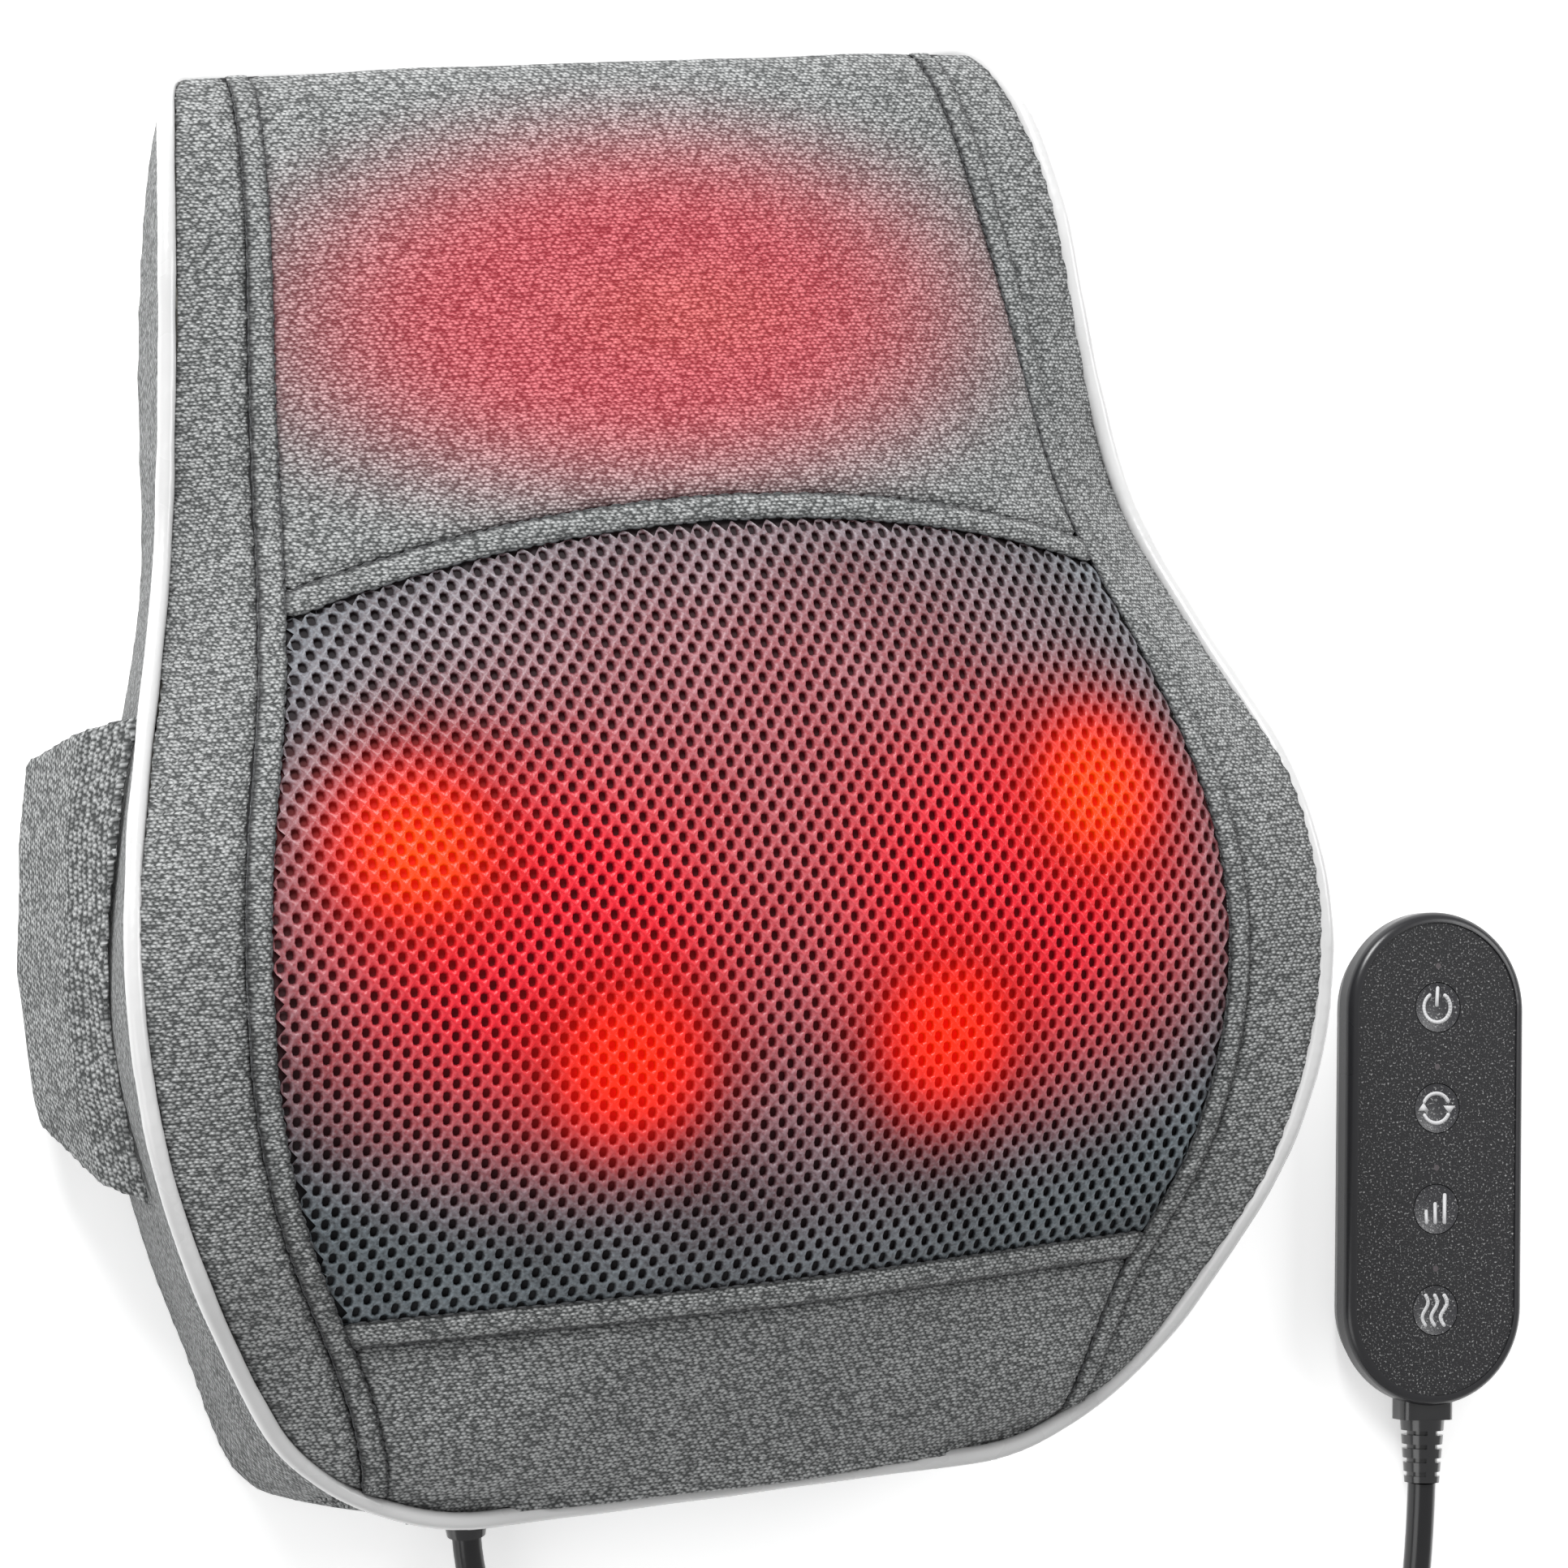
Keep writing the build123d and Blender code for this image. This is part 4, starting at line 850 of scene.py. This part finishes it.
class PILLOW_OT_mesh(bpy.types.Operator):
    """Knit the air mesh, hole by hole, over the dark lining, which reaches on behind the seams as painted
    shade
    """

    bl_idname = "pillow.mesh"
    bl_label = "Air mesh"

    def execute(self, context):
        sizes = context.scene.pillow.sizes
        surface = surface_of("mesh_panel")
        low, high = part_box("mesh_panel")
        wide, tall = sizes.hole_width / 2, sizes.hole_rows
        corner = [(wide, 0), (wide / 2, tall / 2), (0, tall), (-wide / 2, tall / 2),
                  (-wide, 0), (-wide / 2, -tall / 2), (0, -tall), (wide / 2, -tall / 2)]
        # For each ring round a hole: how far out at its diamond's corners and sides, its depth, and its
        # share of the cord's crest, which the finish turns into painted shade down the hole.
        rings = [((0.80, 0.88), 0.0003, 0.85), ((0.62, 0.72), 0.0007, 0.45), ((0.50, 0.60), 0.0016, 0.0)]
        points, faces, crest, index = [], [], [], {}
        heights = {}

        def height(x, y):
            key = (round(x / 0.0001), round(y / 0.0001))
            if key not in heights:
                heights[key] = drop(surface, x, y)
            return heights[key]

        def inside(x, y, cx, cy):
            """The point, or the last point towards it from the hole's middle that the panel holds."""
            if height(x, y) is not None:
                return x, y
            good, bad = 0.0, 1.0
            for _ in range(6):
                half = (good + bad) / 2
                if height(cx + half * (x - cx), cy + half * (y - cy)) is None:
                    bad = half
                else:
                    good = half
            return cx + good * (x - cx), cy + good * (y - cy)

        def point(x, y, down, level):
            key = (round(x / 0.00005), round(y / 0.00005), round(down / 0.0001))
            if key not in index:
                index[key] = len(points)
                points.append((x, y, height(x, y) - down))
                crest.append(level)
            return index[key]

        rows = int((high.y - low.y) / tall) + 2
        columns = int((high.x - low.x) / (2 * wide)) + 2
        for row in range(rows):
            for column in range(columns):
                cx = low.x + (column + (row % 2) / 2) * 2 * wide
                cy = low.y + row * tall
                if height(cx, cy) is None:
                    continue
                loops = []
                outer = [inside(cx + dx, cy + dy, cx, cy) for dx, dy in corner]
                loops.append([point(x, y, 0.0, 1.0 if i % 2 else 0.7) for i, (x, y) in enumerate(outer)])
                for (at_corner, at_side), down, level in rings:
                    loop = []
                    for i, (x, y) in enumerate(outer):
                        corner_share = WIDE_CORNER if i % 4 == 0 else TALL_CORNER
                        share = at_side if i % 2 else at_corner * corner_share
                        loop.append(point(cx + share * (x - cx), cy + share * (y - cy), down, level))
                    loops.append(loop)
                for outside, within in zip(loops, loops[1:]):
                    for k in range(8):
                        face = [outside[k], outside[(k + 1) % 8], within[(k + 1) % 8], within[k]]
                        if len(set(face)) == 4:
                            faces.append(face)
        mesh = mesh_from("air_mesh", points, faces)
        store(mesh, "crest", crest)
        sewn(mesh, 0.0012)
        piece = add_piece("air_mesh", mesh, finish("air_mesh"), replaces=["mesh_panel"])

        # A dark sheet under the mesh; past the mesh it reaches under the seams only as painted shade behind
        # their gaps.
        pitch = WIDTH_STEP
        front = surface_of(*FRONT)
        seams = seam_tree()[0]
        points, faces, index, behind = [], [], {}, []
        low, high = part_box("piping")
        for i in range(int((high.x - low.x) / pitch) + 1):
            for k in range(int((high.y - low.y) / pitch) + 1):
                x, y = low.x + i * pitch, low.y + k * pitch
                z = drop(surface, x, y)
                under_mesh = z is not None
                z = z if under_mesh else drop(front, x, y)
                if z is None or not under_mesh and seams.find((x, y, z))[2] > SHADE_SHEET_REACH:
                    continue
                index[i, k] = len(points)
                points.append((x, y, z - LINING_DEPTH))
                behind.append(under_mesh)
        for (i, k), start in index.items():
            face = [start, index.get((i + 1, k)), index.get((i + 1, k + 1)), index.get((i, k + 1))]
            if None not in face:
                faces.append(face)
        lining = mesh_from("mesh_lining", points, faces)
        store(lining, "behind_mesh", behind)
        add_piece("mesh_lining", lining, finish("mesh_lining"))
        return {"FINISHED"}


def stitches(name, lines, length, material, sink=0.6 * MM, radius=0.34 * MM):
    """Threads laid along some lines, one short stitch after another."""
    points, faces = [], []
    for line in lines:
        line = np.array(line)
        run = np.concatenate([[0.0], np.cumsum(np.linalg.norm(np.diff(line, axis=0), axis=1))])
        for at in np.arange(0.001, run[-1] - length, length * 1.3):
            ends = [Vector([np.interp(at + share * length, run, line[:, i]) for i in range(3)])
                    for share in (0.0, 0.2, 0.5, 0.8, 1.0)]
            along = (ends[-1] - ends[0]).normalized()
            side = along.cross(Vector((0, 0, 1))).normalized()
            up = side.cross(along)
            start = len(points)
            for place, thick, lift in zip(ends, (0.35, 0.9, 1.0, 0.9, 0.35), (-0.8, 0.0, 0.3, 0.0, -0.8)):
                for k in range(6):
                    turn = math.pi * k / 3
                    points.append(place + up * (lift * radius - sink)
                                  + radius * thick * (side * math.cos(turn) + up * math.sin(turn)))
            for ring in range(4):
                for k in range(6):
                    a, b = start + ring * 6 + k, start + ring * 6 + (k + 1) % 6
                    faces.append([a, b, b + 6, a + 6])
            faces.append([start + k for k in range(6)][::-1])
            faces.append([start + 24 + k for k in range(6)])
    return add_piece(name, mesh_from(name, points, faces), material)


class PILLOW_OT_trim(bpy.types.Operator):
    """Run the piping round the front and stitch the welts and bands"""

    bl_idname = "pillow.trim"
    bl_label = "Piping and stitching"

    def execute(self, context):
        length = context.scene.pillow.sizes.stitch_length
        mesh = softened("piping", 0.75 * MM, 3)
        ripple(mesh, 0.00025, 0.02, 3)
        piping = add_piece("piping_cord", mesh, finish("white_piping"),
                           replaces=["piping"])
        stitches("welt_stitching", all_seams(), length, finish("thread"))
        return {"FINISHED"}


class PILLOW_OT_strap(bpy.types.Operator):
    """Sew the strap's wings, its elastic and the zip"""

    bl_idname = "pillow.strap"
    bl_label = "Strap and zip"

    def execute(self, context):
        for side in ("left", "right"):
            cloth_piece(f"strap_cloth_{side}", f"strap_wing_{side}", finish("strap_cloth"), "strap_cloth",
                        side_places, 1.1, 3, 0.0007, 0.035, fill=0.3)
        mesh = softened("back_elastic", 0.7 * MM, 2)
        ripple(mesh, 0.0003, 0.03, 8)
        elastic = add_piece("elastic_band", mesh, finish("elastic"),
                            replaces=["back_elastic"])
        mesh = softened("zip_tape", 0.5 * MM, 1)
        tape = add_piece("zip_tape_cloth", mesh, finish("zip_tape"), replaces=["zip_tape"])
        return {"FINISHED"}


class PILLOW_OT_foam(bpy.types.Operator):
    """Round off the foam blocks inside the cover"""

    bl_idname = "pillow.foam"
    bl_label = "Foam"

    def execute(self, context):
        for node in ("side_foam_left", "side_foam_right", "bottom_foam", "neck_foam"):
            mesh = softened(node, 3.0 * MM, 2)
            piece = add_piece(f"{node}_block", mesh, finish("foam"), replaces=[node])
        return {"FINISHED"}


# ---------------------------------------------------------------- handset and works
CAD_FINISHES = {
    "heating_film": "heating_film", "back_shell": "shell_plastic", "front_shell": "shell_plastic",
    "gear_cover": "shell_plastic", "worm_wheel_left": "gear_nylon", "worm_wheel_right": "gear_nylon",
    "drive_worm": "steel", "output_shaft_left": "steel", "output_shaft_right": "steel",
    "node_pins_left": "steel", "node_pins_right": "steel", "motor": "steel", "motor_clamp": "steel",
    "case_screws": "steel", "shaft_bushes": "bronze", "rotor_arm_left": "arm_plastic",
    "rotor_arm_right": "arm_plastic", "massage_node_upper_left": "node_plastic",
    "massage_node_upper_right": "node_plastic", "massage_node_lower_left": "node_plastic",
    "massage_node_lower_right": "node_plastic", "control_board": "circuit_board",
    "handset_board": "circuit_board", "zip_slider": "zip_metal", "zip_pull": "zip_metal",
    "power_inlet": "black_moulding", "cord_gland": "black_moulding",
    "handset_strain_relief": "black_moulding",
    "handset_case": "handset_case", "handset_bezel": "handset_bezel", "handset_faceplate": "handset_grain",
    "button_power": "button_plastic", "button_direction": "button_plastic",
    "button_intensity": "button_plastic", "button_heat": "button_plastic", "handset_lamps": "lamp",
}
HANDSET_TURN = math.radians(-6.0)


class PILLOW_OT_finishes(bpy.types.Operator):
    """Make the finishes and give them to the CAD pieces that stay"""

    bl_idname = "pillow.finishes"
    bl_label = "Finishes"

    def execute(self, context):
        colours = context.scene.pillow.colours
        dark, light = tuple(colours.cloth_dark), tuple(colours.cloth_light)
        body = tuple(colours.handset_colour)
        coated = {"Coat_Weight": 0.4, "Coat_Roughness": 0.2}
        glossy = {"Coat_Weight": 0.5, "Coat_Roughness": 0.1}
        makers = {
            "grey_weave": (woven_finish, (dark, light), {}),
            "grey_weave_warm": (woven_finish, (dark, light), {"warmth": painted_film_glow}),
            "strap_cloth": (woven_finish, (dark, light), {}),
            "back_cloth": (woven_finish, ((0.05, 0.052, 0.055), (0.26, 0.265, 0.27), (1.4, 1.0)), {}),
            "air_mesh": (air_mesh_finish, (colours,), {}),
            "mesh_lining": (lining_and_shade_finish, (), {}),
            "white_piping": (moulded_finish, (tuple(colours.piping_colour), 0.28, 0.25, 500.0), coated),
            "thread": (moulded_finish, ((0.05, 0.052, 0.055), 0.7, 0.4, 2500.0), {}),
            "elastic": (ribbed_finish, ((0.02, 0.02, 0.022), (0.10, 0.10, 0.105)), {}),
            "zip_tape": (ribbed_finish, ((0.05, 0.05, 0.055), (0.18, 0.18, 0.19)),
                         {"along": (1.0, 0.0, 0.0), "pitch": 1.4}),
            "foam": (foam_finish, ((0.30, 0.29, 0.26),), {}),
            "heating_film": (metal_finish, ((0.55, 0.30, 0.12), 0.4, (200.0, 30.0, 200.0)), {}),
            "shell_plastic": (moulded_finish, ((0.05, 0.05, 0.055), 0.5, 0.3), {}),
            "gear_nylon": (moulded_finish, ((0.78, 0.76, 0.68), 0.4, 0.15), {}),
            "steel": (metal_finish, ((0.55, 0.55, 0.56),), {}),
            "bronze": (metal_finish, ((0.62, 0.40, 0.16),), {}),
            "arm_plastic": (moulded_finish, ((0.30, 0.30, 0.31), 0.5, 0.25), {}),
            "node_plastic": (lamp_finish, ((0.60, 0.06, 0.03), (0.95, 0.05, 0.01)), {}),
            "circuit_board": (board_finish, (), {}),
            "zip_metal": (metal_finish, ((0.30, 0.30, 0.31), 0.35), {}),
            "black_moulding": (moulded_finish, ((0.012, 0.012, 0.013), 0.22, 0.12), glossy),
            "handset_case": (moulded_finish, (body, 0.42, 0.2), {}),
            "handset_bezel": (moulded_finish, (tuple(2.2 * c for c in body), 0.28, 0.06), {}),
            "handset_grain": (moulded_finish, (tuple(1.6 * c for c in body), 0.5, 1.0, 1700.0, 0.30),
                              {"Specular_IOR_Level": 0.35}),
            "button_plastic": (moulded_finish, (tuple(3.5 * c for c in body), 0.33, 0.6, 1900.0, 0.35), {}),
            "sign_paint": (moulded_finish, ((0.58, 0.58, 0.59), 0.5, 0.1, 1500.0), {}),
            "lamp": (lamp_finish, ((0.05, 0.05, 0.055), (0.02, 0.004, 0.003)), {}),
            "cord_sheath": (moulded_finish, ((0.010, 0.010, 0.011), 0.22, 0.08), {}),
            "tie_cloth": (ribbed_finish, ((0.01, 0.01, 0.011), (0.06, 0.06, 0.065)), {}),
        }
        for name, (make, values, more) in makers.items():
            FINISHES[name] = make(name, *values, **more)
        for node, name in CAD_FINISHES.items():
            mesh = NODES[node].data
            mesh.materials.clear()
            mesh.materials.append(finish(name))
        return {"FINISHED"}


def arc(radius, start, stop, steps=18):
    """Points round an arc, in degrees from the top, clockwise."""
    turns = np.radians(np.linspace(start, stop, steps))
    return [(radius * math.sin(t), radius * math.cos(t)) for t in turns]


def signs():
    """The strokes of each button's sign, about its middle."""
    r = 0.0040
    wave = [(0.0009 * math.sin(t), 0.0040 * (1 - t / math.pi)) for t in np.linspace(0, 2 * math.pi, 17)]
    return {
        "power": ([arc(r, 35, 325, 26), [(0, 0.0006), (0, 0.0052)]], []),
        "direction": ([arc(r, -65, 62, 16), arc(r, 115, 242, 16)],
                      [[(0.0022, 0.0007), (0.0056, 0.0007), (0.0039, -0.0014)],
                       [(-0.0022, -0.0007), (-0.0056, -0.0007), (-0.0039, 0.0014)]]),
        "intensity": ([[(-0.0027, -0.0036), (-0.0027, -0.0006)], [(0, -0.0036), (0, 0.0014)],
                       [(0.0027, -0.0036), (0.0027, 0.0038)]], []),
        "heat": ([[(x + dx, y) for x, y in wave] for dx in (-0.0028, 0.0, 0.0028)], []),
    }


def painted(name, strokes, fills, middle, surface, width, body):
    """Raised paint on a button: round-ended strokes and filled shapes."""
    points, faces = [], []
    turn = Matrix.Rotation(HANDSET_TURN, 2)
    lift = 0.00012

    def at(x, y):
        place = turn @ Vector((x, y))
        x, y = middle[0] + place.x, middle[1] + place.y
        return x, y, drop(surface, x, y, 0.05)

    def slab(outline):
        start = len(points)
        count = len(outline)
        tops = [at(x, y) for x, y in outline]
        points.extend((x, y, z + lift) for x, y, z in tops)
        points.extend((x, y, z - lift) for x, y, z in tops)
        faces.append([start + k for k in range(count)])
        faces.append([start + count + k for k in range(count)][::-1])
        for k in range(count):
            after = (k + 1) % count
            faces.append([start + k, start + count + k, start + count + after, start + after])

    half = width / 2
    for stroke in strokes:
        for (x0, y0), (x1, y1) in zip(stroke, stroke[1:]):
            along = math.atan2(y1 - y0, x1 - x0)
            ends = [(x1, y1, along - math.pi / 2)] * 6 + [(x0, y0, along + math.pi / 2)] * 6
            outline = []
            for k, (x, y, start) in enumerate(ends):
                t = start + math.pi * (k % 6) / 5
                outline.append((x + half * math.cos(t), y + half * math.sin(t)))
            slab(outline)
    for shape in fills:
        slab(shape)
    return add_piece(name, mesh_from(name, points, faces), finish("sign_paint"), body=body)


class PILLOW_OT_handset(bpy.types.Operator):
    """Paint a sign on each button of the handset"""

    bl_idname = "pillow.handset"
    bl_label = "Handset signs"

    def execute(self, context):
        width = context.scene.pillow.sizes.icon_stroke
        for button, (strokes, fills) in signs().items():
            low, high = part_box(f"button_{button}")
            middle = ((low.x + high.x) / 2, (low.y + high.y) / 2)
            painted(f"sign_{button}", strokes, fills, middle, surface_of(f"button_{button}"), width,
                    f"{button}_button")
        return {"FINISHED"}


class PILLOW_PT_panel(bpy.types.Panel):
    """Sizes, colours and steps of the massage pillow"""

    bl_idname = "PILLOW_PT_panel"
    bl_label = "Massage pillow"
    bl_space_type = "VIEW_3D"
    bl_region_type = "UI"
    bl_category = "Massage pillow"

    def draw(self, context):
        for group in (context.scene.pillow.sizes, context.scene.pillow.colours):
            box = self.layout.box()
            for name in group.__annotations__:
                box.prop(group, name)
        for operator in OPERATORS:
            self.layout.operator(operator.bl_idname)


OPERATORS = (
    PILLOW_OT_stage, PILLOW_OT_finishes, PILLOW_OT_cord, PILLOW_OT_panels, PILLOW_OT_mesh,
    PILLOW_OT_trim, PILLOW_OT_strap, PILLOW_OT_foam, PILLOW_OT_handset,
)
CLASSES = (PillowSizes, PillowColours, PillowSettings, *OPERATORS, PILLOW_PT_panel)


def register():
    """Add the settings, the steps and the panel."""
    for item in CLASSES:
        bpy.utils.register_class(item)
    bpy.types.Scene.pillow = PointerProperty(type=PillowSettings)


def unregister():
    """Take them away again."""
    del bpy.types.Scene.pillow
    for item in reversed(CLASSES):
        bpy.utils.unregister_class(item)


def main():
    """Build the pillow."""
    register()
    bpy.ops.pillow.stage()
    bpy.ops.pillow.finishes()
    bpy.ops.pillow.cord()
    bpy.ops.pillow.panels()
    bpy.ops.pillow.mesh()
    bpy.ops.pillow.trim()
    bpy.ops.pillow.strap()
    bpy.ops.pillow.foam()
    bpy.ops.pillow.handset()


if __name__ == "__main__":
    main()
